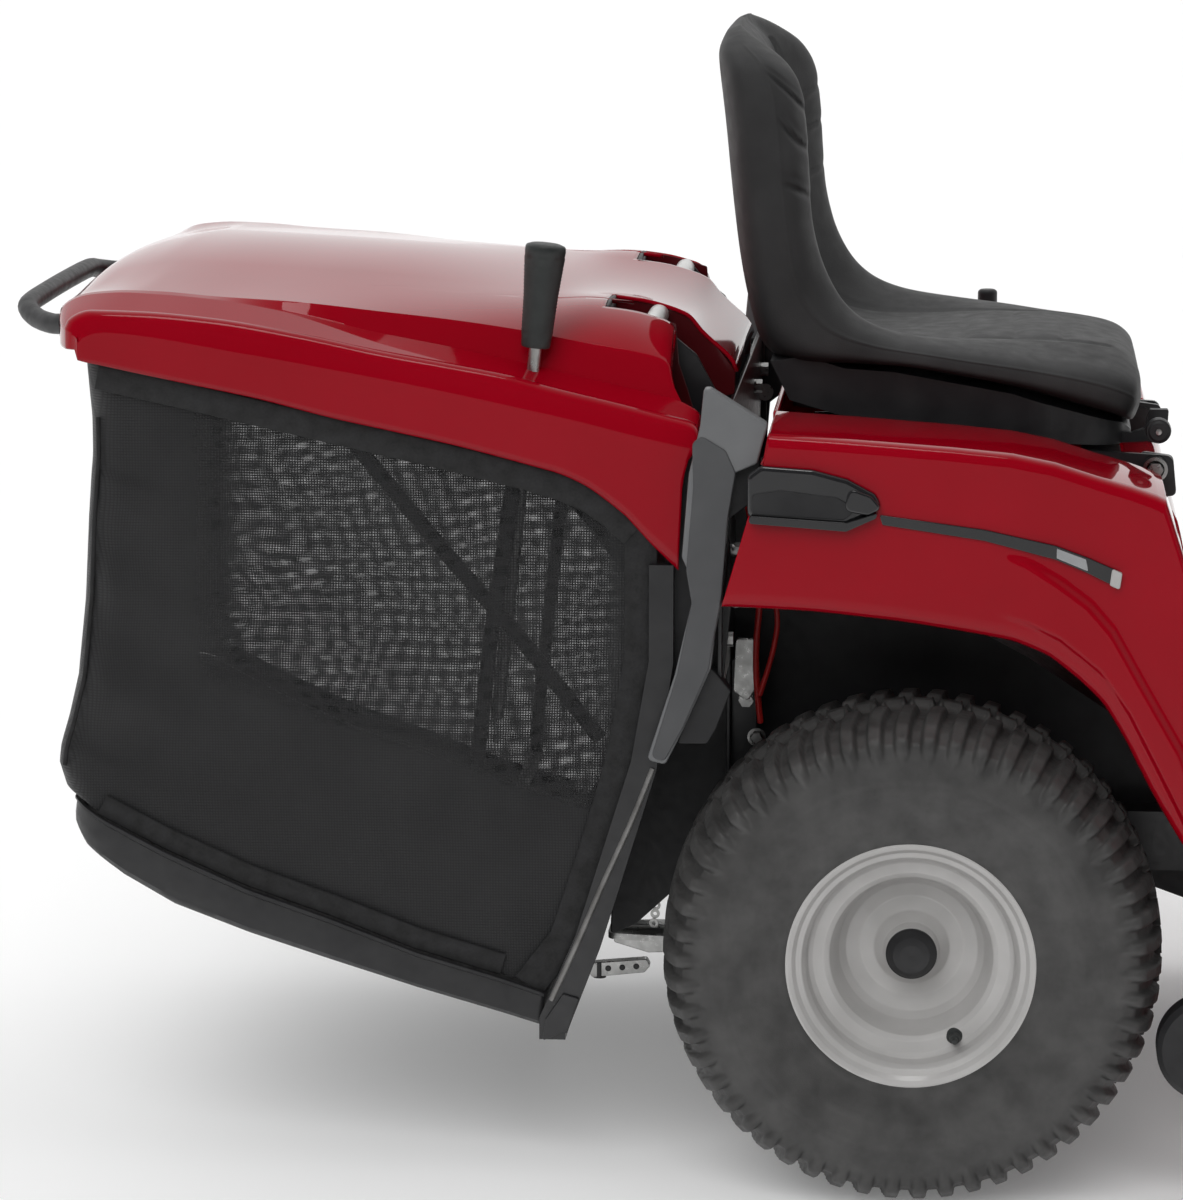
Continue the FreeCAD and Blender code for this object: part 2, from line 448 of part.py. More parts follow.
lo_o = Part.makeLoft([section_wire(s[0], s[1:], 0, 0, 540) for s in sections], True, True)
lo_i = Part.makeLoft([section_wire(s[0] + (0 if 0 < k < len(sections) - 1 else (-1 if k == 0 else 1)), s[1:], 4, 4, 530) for k, s in enumerate(sections)], True, True)
skirt = [(-765, 764), (-760, 756), (-734, 750), (-665, 736), (-595, 722), (-526, 705), (-464, 692), (-413, 681), (-344.5, 663.5), (-321, 657), (-298.5, 647), (-275.5, 631),
         (-253, 612.5), (-229.5, 594), (-213.4, 583), (-210, 652.5), (-203.4, 676), (-197, 706), (-194, 731), (-172, 728), (-172, 860), (-810, 860), (-810, 764)]
rear_plan = [(-170, -380), (-170, 380), (-752, 380), (-770, 365), (-786, 300), (-795, 170), (-797, 0), (-795, -170), (-786, -300), (-770, -365), (-752, -380)]
inner_plan = [(-100, -380), (-100, 380), (-750, 380), (-766, 363), (-782, 299), (-791, 169), (-793, 0), (-791, -169), (-782, -299), (-766, -363), (-750, -380)]
cov = lo_o.common(prism(skirt, -380, 380)).common(slab(rear_plan, 500, 900))
cov = cov.cut(lo_i.common(slab(inner_plan, 500, 900)))
for y0, y1 in ((152, 298), (-298, -152)):
    cov = cov.cut(box(-289, -150, y0, y1, 560, 860))
cov = cov.cut(box(-193.5, -150, 298, 400, 500, 860)).cut(box(-193.5, -150, -400, -298, 500, 860))
nose_pts = [(-289, 780), (-256, 774), (-232, 766), (-208, 748), (-180, 728), (-206, 712), (-289, 742)]
walls = [prism(nose_pts, 148, 152), prism(nose_pts, -152, -148), prism([(-289, 764), (-262, 786), (-236, 786), (-214, 764), (-206, 690), (-289, 730)], 298, 302).common(lo_o.fuse(cyl((TIP_X, 290, TIP_Z), (0, 1, 0), 17, 20))),
         prism([(-289, 764), (-262, 786), (-236, 786), (-214, 764), (-206, 690), (-289, 730)], -302, -298).common(lo_o.fuse(cyl((TIP_X, -310, TIP_Z), (0, 1, 0), 17, 20))),
         box(-293, -289, 148, 302, 744, 776), box(-293, -289, -302, -148, 744, 776)]
cov = fuse(cov, *walls)
lever_a = V(-347.7, -330, 752)
lever_d = V(11.1, 0, 106)
lever_d.normalize()
cov = cov.cut(Part.makeCylinder(7.0, 120, lever_a - lever_d * 60, lever_d))
solids = sorted(cov.Solids, key=lambda s: -s.Volume)
print("cover pieces", len(solids), [round(s.Volume) for s in solids])
save("collector_cover", solids[0])

save("collector_hinge_tube", *both(cyl((TIP_X, 152, TIP_Z), (0, 1, 0), 9.5, 146)))

bag_o = [(-757, 744), (-752, 701), (-752, 666), (-757, 608), (-761, 533), (-769, 461), (-779, 421), (-787, 394), (-789, 378), (-783, 360), (-771, 349), (-743, 333), (-685, 303), (-608, 269), (-529.5, 242),
         (-452, 212.5), (-374, 190), (-345, 181), (-311, 226), (-260, 392), (-243, 487), (-243, 600), (-255, 618), (-275, 636), (-298, 652), (-321, 662), (-344, 669), (-413, 686), (-526, 711), (-665, 742), (-740, 758)]
bag_i = [(-753, 760), (-748, 701), (-748, 666), (-753, 608), (-757, 533), (-765, 461), (-775, 421), (-783, 394), (-785, 378), (-779, 361), (-768, 340), (-768, 100), (-100, 100), (-100, 800), (-753, 800)]
save("grass_bag", prism(bag_o, -366, 366).cut(prism(bag_i, -362, 362)))

tray_o = [(-780, 344), (-775.5, 320), (-762, 299), (-727, 273), (-680, 246), (-610.5, 220), (-532, 195), (-454, 171), (-376, 149), (-346, 140), (-350, 179), (-374, 187), (-452, 209.5), (-529.5, 239), (-608, 266),
          (-685, 300), (-743, 330), (-772, 346)]
tray_i = [(-760, 360), (-757, 308), (-725, 277), (-678.5, 250), (-609, 224), (-531, 199), (-453, 175), (-375, 153), (-340, 143), (-340, 400), (-760, 400)]
save("collector_tray", prism(tray_o, -371, 371).cut(prism(tray_i, -367, 367)))

# steel mouth frame
band = [(-315, 137), (-284, 219), (-233, 386), (-218, 485), (-218, 575), (-240, 575), (-240, 487), (-256, 394), (-307, 229), (-340, 152)]
mouth = [prism(band, 349, 374, 2), prism(band, -374, -349, 2), box(-340, -316, -374, 374, 132, 152), box(-240, -218, -374, 374, 553, 575)]
save("collector_mouth_frame", fuse(*mouth))

# tube frame inside the bag
y = 350
side_t = fuse(tube([(-362, y, 664), (-386, y, 500), (-408, y, 300), (-412, y, 240)], 7), tube([(-512, y, 682), (-422, y, 574), (-358, y, 501), (-286, y, 410)], 7))
top_t = tube([(-512, y, 682), (-512, 0, 682), (-512, -y, 682)], 7)
bot_t = tube([(-412, y, 240), (-412, 0, 240), (-412, -y, 240)], 7)
save("collector_frame", fuse(side_t, mir(side_t), top_t, bot_t, Part.makeSphere(7, V(-512, y, 682)), Part.makeSphere(7, V(-512, -y, 682)), Part.makeSphere(7, V(-412, y, 240)), Part.makeSphere(7, V(-412, -y, 240))))

hx = HANDLE_BAR_X
hand = tube([(-782, -250, 774), (-824, -212, 771), (hx, -160, HANDLE_BAR_Z), (hx, 160, HANDLE_BAR_Z), (-824, 212, 771), (-782, 250, 774)], 10)
hand = fuse(hand, cyl((-794.5, -246, 774.5), (1, 0, 0), 12, 10), cyl((-794.5, 246, 774.5), (1, 0, 0), 12, 10)).cut(slab(rear_plan, 500, 900))
save("collector_rear_handle", sorted(hand.Solids, key=lambda s: -s.Volume)[0])

grip = Part.makeCone(13.5, 18.5, 92, lever_a + lever_d * 16, lever_d)
save("lever_grip", grip.cut(Part.makeCylinder(6.0, 60, lever_a, lever_d)))
save("lever_rod", Part.makeCylinder(6.0, 390, lever_a + lever_d * (60 - 390), lever_d))

# --------------------------------------------------------------------- seat
seat_pts = [(-196, 1022, 14), (-188, 958), (-181, 886), (-173, 828), (-161, 773), (-150, 752, 20), (-109, 747), (-71, 736), (-25, 733), (84, 714), (187, 681), (200, 675, 10),
            (207, 695), (204, 729, 20), (169, 741), (100, 750), (27, 759), (-27, 768, 30), (-61, 790, 30), (-82, 828), (-90, 851), (-96, 885), (-98, 928), (-100, 957), (-104, 989, 20), (-121, 1014, 20),
            (-155, 1032, 20), (-180, 1042, 10)]
cushion = prism(seat_pts, -225, 225)
side_cut = plate([(-225, 640), (-225, 960, 60), (-190, 1050, 90), (190, 1050, 90), (225, 960, 60), (225, 640)], -260, 260)
cushion = cushion.common(side_cut)
front_plan = slab([(-230, -225), (110, -225, 60), (190, -190, 70), (212, -120, 60), (212, 120, 60), (190, 190, 70), (110, 225, 60), (-230, 225)], 600, 1100)
cushion = cushion.common(front_plan)
save("seat_cushion", cushion)
pan = prism([(-140, 738), (-122, 702), (-60, 684), (-20, 678), (150, 661), (194, 658), (196, 668), (187, 678), (84, 710), (-25, 729), (-71, 732), (-109, 743)], -200, 200)
pan = pan.common(slab([(-160, -200), (110, -200, 50), (180, -170, 60), (206, -100, 50), (206, 100, 50), (180, 170, 60), (110, 200, 50), (-160, 200)], 600, 800))
lugk = prism([(180, 658), (228, 661), (230, 690), (212, 690), (208, 672), (196, 668), (180, 670)], -150, -140, 2).cut(cyl((219, -160, 677), (0, 1, 0), 4.06, 30))
save("seat_pan", fuse(pan, lugk))
knob = fuse(cyl((219, -204, 677), (0, 1, 0), 11, 16), cyl((219, -190, 677), (0, 1, 0), 4, 54), cyl((219, -139.6, 677), (0, 1, 0), 7, 4)).cut(cyl((219, -210, 677), (0, 1, 0), 4, 9))
save("seat_knob", knob)
brk = [(234, 628, 4), (234, 650, 6), (150, 655), (-20, 671), (-124, 683), (-124, 677), (-20, 664), (150, 648), (196, 641), (200, 628, 4)]
ear = [(234, 628, 8), (234, 652, 8), (150, 656), (140, 640), (196, 628)]
bracket = fuse(prism([(186, 642), (186, 651.5), (150, 655), (-20, 671), (-124, 683), (-124, 677), (-20, 664), (150, 648)], -60, 60),
               prism([(150, 648.5), (150, 655), (186, 651.5), (186, 645)], -186, 186), prism(ear, -186, -180), prism(ear, 180, 186))
pins = []
for s in (1, -1):
    pins += [cyl((SEAT_HINGE_X, s * 164, SEAT_HINGE_Z), (0, s, 0), 8, 20), cyl((SEAT_HINGE_X, s * 186, SEAT_HINGE_Z), (0, s, 0), 12, 7), cyl((SEAT_HINGE_X, s * 175, SEAT_HINGE_Z), (0, s, 0), 12, 5)]
bracket = fuse(bracket, *pins)
save("seat_bracket", bracket)
spring = ring((-92, 80, 612), (0, 0, 1), 20, 15, 64)
spring = spring.common(box(-150, 0, 40, 120, 612, 673.5))
save("seat_springs", *both(spring))

# ------------------------------------------------------------------ controls
for name, s in (("brake_pedal", 1), ("drive_pedal", -1)):
    y = s * 245.0
    pad = prism([(752, 440), (790, 396), (797, 402), (759, 446)], y - 31, y + 31, 2)
    shaft = cyl((720, y - 10, 350), (0, 1, 0), 7, 20)
    arm = prism([(709, 356), (709, 343), (722, 338), (731, 343), (786, 402), (776, 414), (722, 361)], y - 3, y + 2, 3)
    save(name, fuse(arm, pad, shaft))
save("throttle_lever", fuse(prism([(654, 842), (666, 842), (664, 900), (656, 900)], 164, 170, 2), cyl((660, 151, 848), (0, 1, 0), 4, 32), soften(box(648, 672, 159, 175, 896, 916), 5)))
save("ignition_key", fuse(cyl((700, -120, 866), (0, 0, 1), 8, 14), prism([(688, 880), (712, 880), (710, 902), (690, 902)], -122, -118, 4)))
save("pto_knob", fuse(cyl((700, 120, 840), (0, 0, 1), 10, 46), cyl((700, 120, 880.3), (0, 0, 1), 17, 14)))
lift = fuse(prism([(52, 608), (68, 608), (64, 726), (56, 726)], 327, 334, 3), cyl((60, 317, 616), (0, 1, 0), 6, 27), soften(cyl((60, 330.5, 700), (0, 0, 1), 10, 46), 4))
save("lift_lever", lift)

# -------------------------------------------------------- hitch and fixings
hp = slab([(-305, -26), (-305, 26), (-200, 42), (-168, 42), (-168, -42), (-200, -42)], 138, 144, 10)
hp = fuse(hp, box(-174, -168, -42, 42, 138, 300), prism([(-174, 144), (-174, 220), (-240, 144)], -42, -38), prism([(-174, 144), (-174, 220), (-240, 144)], 38, 42))
hp = hp.cut(cyl((-282, 0, 130), (0, 0, 1), 8.0, 30))
save("hitch_plate", hp)


def bolt(x, y, z, d, r=7.0):
    h = Part.makeCylinder(r * 1.0, 2.0, V(x, y, z), V(*d))
    p = Part.makePolygon([V(r * math.cos(math.radians(60 * k)), r * math.sin(math.radians(60 * k)), 0) for k in range(7)])
    n = Part.Face(p).extrude(V(0, 0, 6))
    n.Placement = FreeCAD.Placement(V(x, y, z) + V(*d) * 1.9, FreeCAD.Rotation(V(0, 0, 1), V(*d)))
    return h.fuse(n)


bolts = []
for s in (1, -1):
    for z in (300, 420):
        bolts.append(bolt(-160, s * 209, z, (0, s, 0)))
    for y, z in ((200, 560), (330, 500), (330, 660), (200, 660)):
        bolts.append(bolt(PLATE_X1, s * y, z, (1, 0, 0)))
    for x in (300, 420, 540):
        bolts.append(bolt(x, s * 205, 290, (0, s, 0), 6))
save("chassis_bolts", *bolts)

# loom clipped to the bulkhead: straight runs joined by tangent arcs


def loom(points, r):
    pts = [V(*p) for p in points]
    edges, prev = [], pts[0]
    for i in range(1, len(pts) - 1):
        a, b, c = pts[i - 1], pts[i], pts[i + 1]
        u, v = (a - b), (c - b)
        lu, lv = u.Length, v.Length
        u.normalize()
        v.normalize()
        ang = u.getAngle(v)
        t = 0.45 * min(lu, lv)
        rad = t * math.tan(ang / 2)
        print("loom radius %.1f" % rad)
        s, e = b + u * t, b + v * t
        bis = (u + v)
        bis.normalize()
        m = b + bis * (rad / math.sin(ang / 2) - rad)
        edges.append(Part.makeLine(prev, s))
        edges.append(Part.Arc(s, m, e).toShape())
        prev = e
    edges.append(Part.makeLine(prev, pts[-1]))
    w = Part.Wire(edges)
    d = pts[1] - pts[0]
    circ = Part.Wire([Part.makeCircle(r, pts[0], d)])
    s = w.makePipeShell([circ], True, False)
    print("loom volume ratio %.4f" % (s.Volume / (math.pi * r * r * w.Length)))
    return s


save("wiring_harness", loom([(-160, -222, 640), (-158, -226, 600), (-150, -236, 560), (-146, -240, 520), (-150, -236, 480), (-150, -226, 440), (-146, -220, 400)], 3.0),
     loom([(-158, -250, 610), (-150, -256, 575), (-136, -258, 540), (-128, -252, 505), (-134, -244, 470), (-146, -238, 430)], 2.5))

# ---------------------------------------------------------------- totals
bb = FreeCAD.BoundBox()
for n, s in NODES.items():
    bb.add(s.BoundBox)
    bad = [k for k in s.Solids if not k.isValid()]
    if bad or not s.Solids:
        print("INVALID", n)
print(len(NODES), "nodes; box", round(bb.XMin, 1), round(bb.XMax, 1), round(bb.YMin, 1), round(bb.YMax, 1), round(bb.ZMin, 1), round(bb.ZMax, 1))
for n, s in NODES.items():
    print("%-26s solids %2d vol %9.0f" % (n, len(s.Solids), s.Volume))
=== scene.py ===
import bpy, bmesh, math, json
import numpy as np
from mathutils import Vector, Matrix, noise


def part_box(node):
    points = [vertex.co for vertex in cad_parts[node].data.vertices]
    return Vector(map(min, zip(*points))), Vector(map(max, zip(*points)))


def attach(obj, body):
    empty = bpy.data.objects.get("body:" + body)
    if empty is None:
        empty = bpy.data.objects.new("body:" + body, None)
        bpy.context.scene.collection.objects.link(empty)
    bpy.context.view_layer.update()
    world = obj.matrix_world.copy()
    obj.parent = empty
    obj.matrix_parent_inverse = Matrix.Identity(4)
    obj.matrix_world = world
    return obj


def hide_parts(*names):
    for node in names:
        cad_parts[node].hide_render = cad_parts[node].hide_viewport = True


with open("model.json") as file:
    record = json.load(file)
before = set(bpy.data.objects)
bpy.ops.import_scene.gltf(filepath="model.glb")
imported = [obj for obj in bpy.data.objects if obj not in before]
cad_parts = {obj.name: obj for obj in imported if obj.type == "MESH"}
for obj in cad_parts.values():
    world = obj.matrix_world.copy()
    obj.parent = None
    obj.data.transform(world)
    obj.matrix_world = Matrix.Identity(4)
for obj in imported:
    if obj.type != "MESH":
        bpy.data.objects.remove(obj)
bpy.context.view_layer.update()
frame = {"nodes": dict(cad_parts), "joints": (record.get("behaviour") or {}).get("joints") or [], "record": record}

nodes = frame["nodes"]
joints = {j["name"]: j for j in frame["joints"]}
# X of the rear axle: the tables below measure X from there, in millimetres
OX = joints["rear_wheel_right_spin"]["pos_m"][0]


def W(x, y, z):
    return Vector((OX + x / 1000.0, y / 1000.0, z / 1000.0))


# ------------------------------------------------------------ camera, stage
cam_data = bpy.data.cameras.new("camera")
cam = bpy.data.objects.new("camera", cam_data)
bpy.context.scene.collection.objects.link(cam)
yaw, pitch = math.radians(-4.7863), math.radians(10.3778)
look = Vector((math.sin(yaw) * math.cos(pitch), math.cos(yaw) * math.cos(pitch), -math.sin(pitch)))
cam.location = W(57.0, -4540.5, 1308.1)
cam.rotation_euler = look.to_track_quat("-Z", "Y").to_euler()
cam_data.sensor_width = 36.0
cam_data.lens = 36.0 * 4716.7 / 1200.0
cam_data.clip_end = 200.0
bpy.context.scene.camera = cam
bpy.context.scene.view_settings.view_transform = "Standard"

world = bpy.data.worlds.new("studio")
bpy.context.scene.world = world
world.use_nodes = True
wn, wl = world.node_tree.nodes, world.node_tree.links
bg = wn["Background"]
wtc = wn.new("ShaderNodeTexCoord")
wsep = wn.new("ShaderNodeSeparateXYZ")
wl.new(wtc.outputs["Generated"], wsep.inputs[0])
# bright behind and low down, darker overhead and towards the front of the set
wramp = wn.new("ShaderNodeValToRGB")
wramp.color_ramp.elements[0].position = 0.0
wramp.color_ramp.elements[0].color = (0.07, 0.07, 0.07, 1)
wramp.color_ramp.elements[1].position = 1.0
wramp.color_ramp.elements[1].color = (1.0, 1.0, 1.0, 1)
wmap = wn.new("ShaderNodeMapRange")
wmap.inputs["From Min"].default_value = -0.45
wmap.inputs["From Max"].default_value = 0.70
wl.new(wsep.outputs["Y"], wmap.inputs["Value"])
wl.new(wmap.outputs["Result"], wramp.inputs["Fac"])
wl.new(wramp.outputs["Color"], bg.inputs["Color"])
bg.inputs["Strength"].default_value = 0.92


def light(name, kind, loc, aim, energy, size=None, size_y=None, angle=None):
    d = bpy.data.lights.new(name, kind)
    d.energy = energy
    if kind == "AREA":
        d.shape = "RECTANGLE"
        d.size = size
        d.size_y = size_y or size
    if angle is not None:
        d.angle = math.radians(angle)
    o = bpy.data.objects.new(name, d)
    bpy.context.scene.collection.objects.link(o)
    o.location = loc
    o.rotation_euler = (Vector(aim) - Vector(loc)).to_track_quat("-Z", "Y").to_euler()
    return o


light("sun_top", "SUN", (-0.5, -0.5, 4.0), (0, 0, 0), 0.80, angle=75).visible_glossy = False
light("sun_front", "SUN", (-0.6, -3.0, 2.2), (0, 0, 0), 1.95, angle=50).visible_glossy = False
# an overhead strip that only shows as highlights
light("soft_box", "SUN", (-0.1, -0.45, 4.0), (0, 0, 0), 0.34, angle=18).visible_diffuse = False


# ---------------------------------------------------------------- materials
def mat(name, c1, c2, rough=(0.3, 0.4), metal=0.0, scale=18.0, bump=0.15, bscale=700.0, dist=0.0002, coat=0.0,
        coat_rough=0.06, spec=0.5, grain="noise", sheen=0.0, stretch=None, coat_ior=1.5):
    m = bpy.data.materials.new(name)
    m.use_nodes = True
    N, L = m.node_tree.nodes, m.node_tree.links
    b = N["Principled BSDF"]
    tc = N.new("ShaderNodeTexCoord")
    src = tc.outputs["Object"]
    if stretch:
        mp = N.new("ShaderNodeMapping")
        mp.inputs["Scale"].default_value = stretch
        L.new(src, mp.inputs["Vector"])
        src = mp.outputs["Vector"]
    n1 = N.new("ShaderNodeTexNoise")
    n1.inputs["Scale"].default_value = scale
    n1.inputs["Detail"].default_value = 6
    L.new(src, n1.inputs["Vector"])
    cr = N.new("ShaderNodeValToRGB")
    cr.color_ramp.elements[0].position = 0.32
    cr.color_ramp.elements[0].color = (*c1, 1)
    cr.color_ramp.elements[1].position = 0.68
    cr.color_ramp.elements[1].color = (*c2, 1)
    L.new(n1.outputs["Fac"], cr.inputs["Fac"])
    L.new(cr.outputs["Color"], b.inputs["Base Color"])
    n2 = N.new("ShaderNodeTexNoise")
    n2.inputs["Scale"].default_value = scale * 4.3
    n2.inputs["Detail"].default_value = 5
    L.new(src, n2.inputs["Vector"])
    mr = N.new("ShaderNodeMapRange")
    mr.inputs["From Min"].default_value = 0.3
    mr.inputs["From Max"].default_value = 0.7
    mr.inputs["To Min"].default_value = rough[0]
    mr.inputs["To Max"].default_value = rough[1]
    L.new(n2.outputs["Fac"], mr.inputs["Value"])
    L.new(mr.outputs["Result"], b.inputs["Roughness"])
    if grain == "pebble":
        g = N.new("ShaderNodeTexVoronoi")
        g.feature = "DISTANCE_TO_EDGE"
        g.inputs["Scale"].default_value = bscale
        gout = g.outputs["Distance"]
    else:
        g = N.new("ShaderNodeTexNoise")
        g.inputs["Scale"].default_value = bscale
        g.inputs["Detail"].default_value = 3
        gout = g.outputs["Fac"]
    L.new(src, g.inputs["Vector"])
    bp = N.new("ShaderNodeBump")
    bp.inputs["Strength"].default_value = bump
    bp.inputs["Distance"].default_value = dist
    L.new(gout, bp.inputs["Height"])
    L.new(bp.outputs["Normal"], b.inputs["Normal"])
    b.inputs["Metallic"].default_value = metal
    b.inputs["Coat Weight"].default_value = coat
    b.inputs["Coat Roughness"].default_value = coat_rough
    b.inputs["Coat IOR"].default_value = coat_ior
    b.inputs["Specular IOR Level"].default_value = spec
    b.inputs["Sheen Weight"].default_value = sheen
    return m


M = {
    "red_gloss": mat("red_gloss", (0.245, 0.0003, 0.0062), (0.270, 0.0005, 0.0078), (0.42, 0.5), scale=7, bump=0.04, bscale=260, dist=0.0002, coat=1.0, coat_rough=0.045, spec=0.0, coat_ior=1.34),
    # painted shade: a far darker copy of the red paint, for the notch walls that lie in shadow
    "red_shaded_inner": mat("red_shaded_inner", (0.045, 0.0008, 0.002), (0.06, 0.001, 0.003), (0.4, 0.5), scale=12, bump=0.1, bscale=300, coat=0.6, coat_rough=0.1),
    "red_deck": mat("red_deck", (0.18, 0.001, 0.007), (0.23, 0.002, 0.01), (0.35, 0.5), scale=22, bump=0.2, bscale=900, coat=0.4, coat_rough=0.15),
    "black_gloss": mat("black_gloss", (0.008, 0.008, 0.009), (0.013, 0.013, 0.014), (0.16, 0.24), scale=12, bump=0.05, bscale=300, coat=0.6, coat_rough=0.05),
    "black_plastic": mat("black_plastic", (0.010, 0.010, 0.011), (0.018, 0.018, 0.019), (0.42, 0.56), scale=26, bump=0.35, bscale=1500, dist=0.00015),
    "charcoal_plastic": mat("charcoal_plastic", (0.118, 0.121, 0.125), (0.140, 0.143, 0.147), (0.36, 0.46), scale=20, bump=0.3, bscale=1700, dist=0.00012),
    "black_steel": mat("black_steel", (0.009, 0.009, 0.010), (0.016, 0.016, 0.017), (0.28, 0.42), scale=30, bump=0.25, bscale=1100, dist=0.0002, coat=0.2, coat_rough=0.2),
    "grey_paint": mat("grey_paint", (0.40, 0.392, 0.385), (0.45, 0.442, 0.435), (0.32, 0.42), metal=0.2, scale=24, bump=0.2, bscale=1300, dist=0.00015, coat=0.35, coat_rough=0.12),
    "tyre_rubber": mat("tyre_rubber", (0.031, 0.0305, 0.030), (0.056, 0.055, 0.054), (0.42, 0.60), scale=34, bump=0.45, bscale=900, dist=0.0003, spec=0.55),
    "cast_alloy": mat("cast_alloy", (0.24, 0.24, 0.245), (0.36, 0.36, 0.37), (0.42, 0.6), metal=0.9, scale=40, bump=0.8, bscale=600, dist=0.0005),
    "vinyl": mat("vinyl", (0.024, 0.024, 0.0245), (0.036, 0.036, 0.0365), (0.50, 0.62), scale=16, bump=0.42, bscale=520, dist=0.0004, grain="pebble", sheen=0.0, spec=0.24),
    "zinc_steel": mat("zinc_steel", (0.42, 0.42, 0.41), (0.58, 0.58, 0.57), (0.24, 0.42), metal=1.0, scale=55, bump=0.3, bscale=900, dist=0.0002),
    "chrome_trim": mat("chrome_trim", (0.42, 0.43, 0.44), (0.52, 0.53, 0.54), (0.10, 0.18), metal=1.0, scale=30, bump=0.05, bscale=600),
    "grip_rubber": mat("grip_rubber", (0.016, 0.018, 0.018), (0.026, 0.029, 0.028), (0.42, 0.55), scale=60, bump=0.45, bscale=1200, dist=0.00025),
    "spring_steel": mat("spring_steel", (0.10, 0.10, 0.10), (0.2, 0.2, 0.2), (0.3, 0.45), metal=0.9, scale=70, bump=0.3, bscale=900),
    "wire_red": mat("wire_red", (0.28, 0.006, 0.006), (0.36, 0.012, 0.01), (0.38, 0.5), scale=80, bump=0.2, bscale=900),
    "wire_grey": mat("wire_grey", (0.06, 0.06, 0.062), (0.10, 0.10, 0.10), (0.42, 0.55), scale=80, bump=0.2, bscale=900),
    "lamp_lens": mat("lamp_lens", (0.55, 0.56, 0.58), (0.68, 0.69, 0.70), (0.06, 0.12), metal=0.15, scale=40, bump=0.7, bscale=160, dist=0.0015, coat=1.0),
    # painted shade: a darker copy of the charcoal plastic, for the bezel's recess
    "charcoal_shaded_recess": mat("charcoal_shaded_recess", (0.055, 0.056, 0.059), (0.070, 0.071, 0.074), (0.36, 0.46), scale=20, bump=0.3, bscale=1700, dist=0.00012),
    "edge_steel": mat("edge_steel", (0.16, 0.155, 0.15), (0.24, 0.235, 0.23), (0.3, 0.42), metal=0.5, scale=60, bump=0.3, bscale=900),
    "hem_web": mat("hem_web", (0.010, 0.010, 0.010), (0.019, 0.019, 0.020), (0.68, 0.82), scale=90, bump=0.7, bscale=1400, dist=0.0005),
}


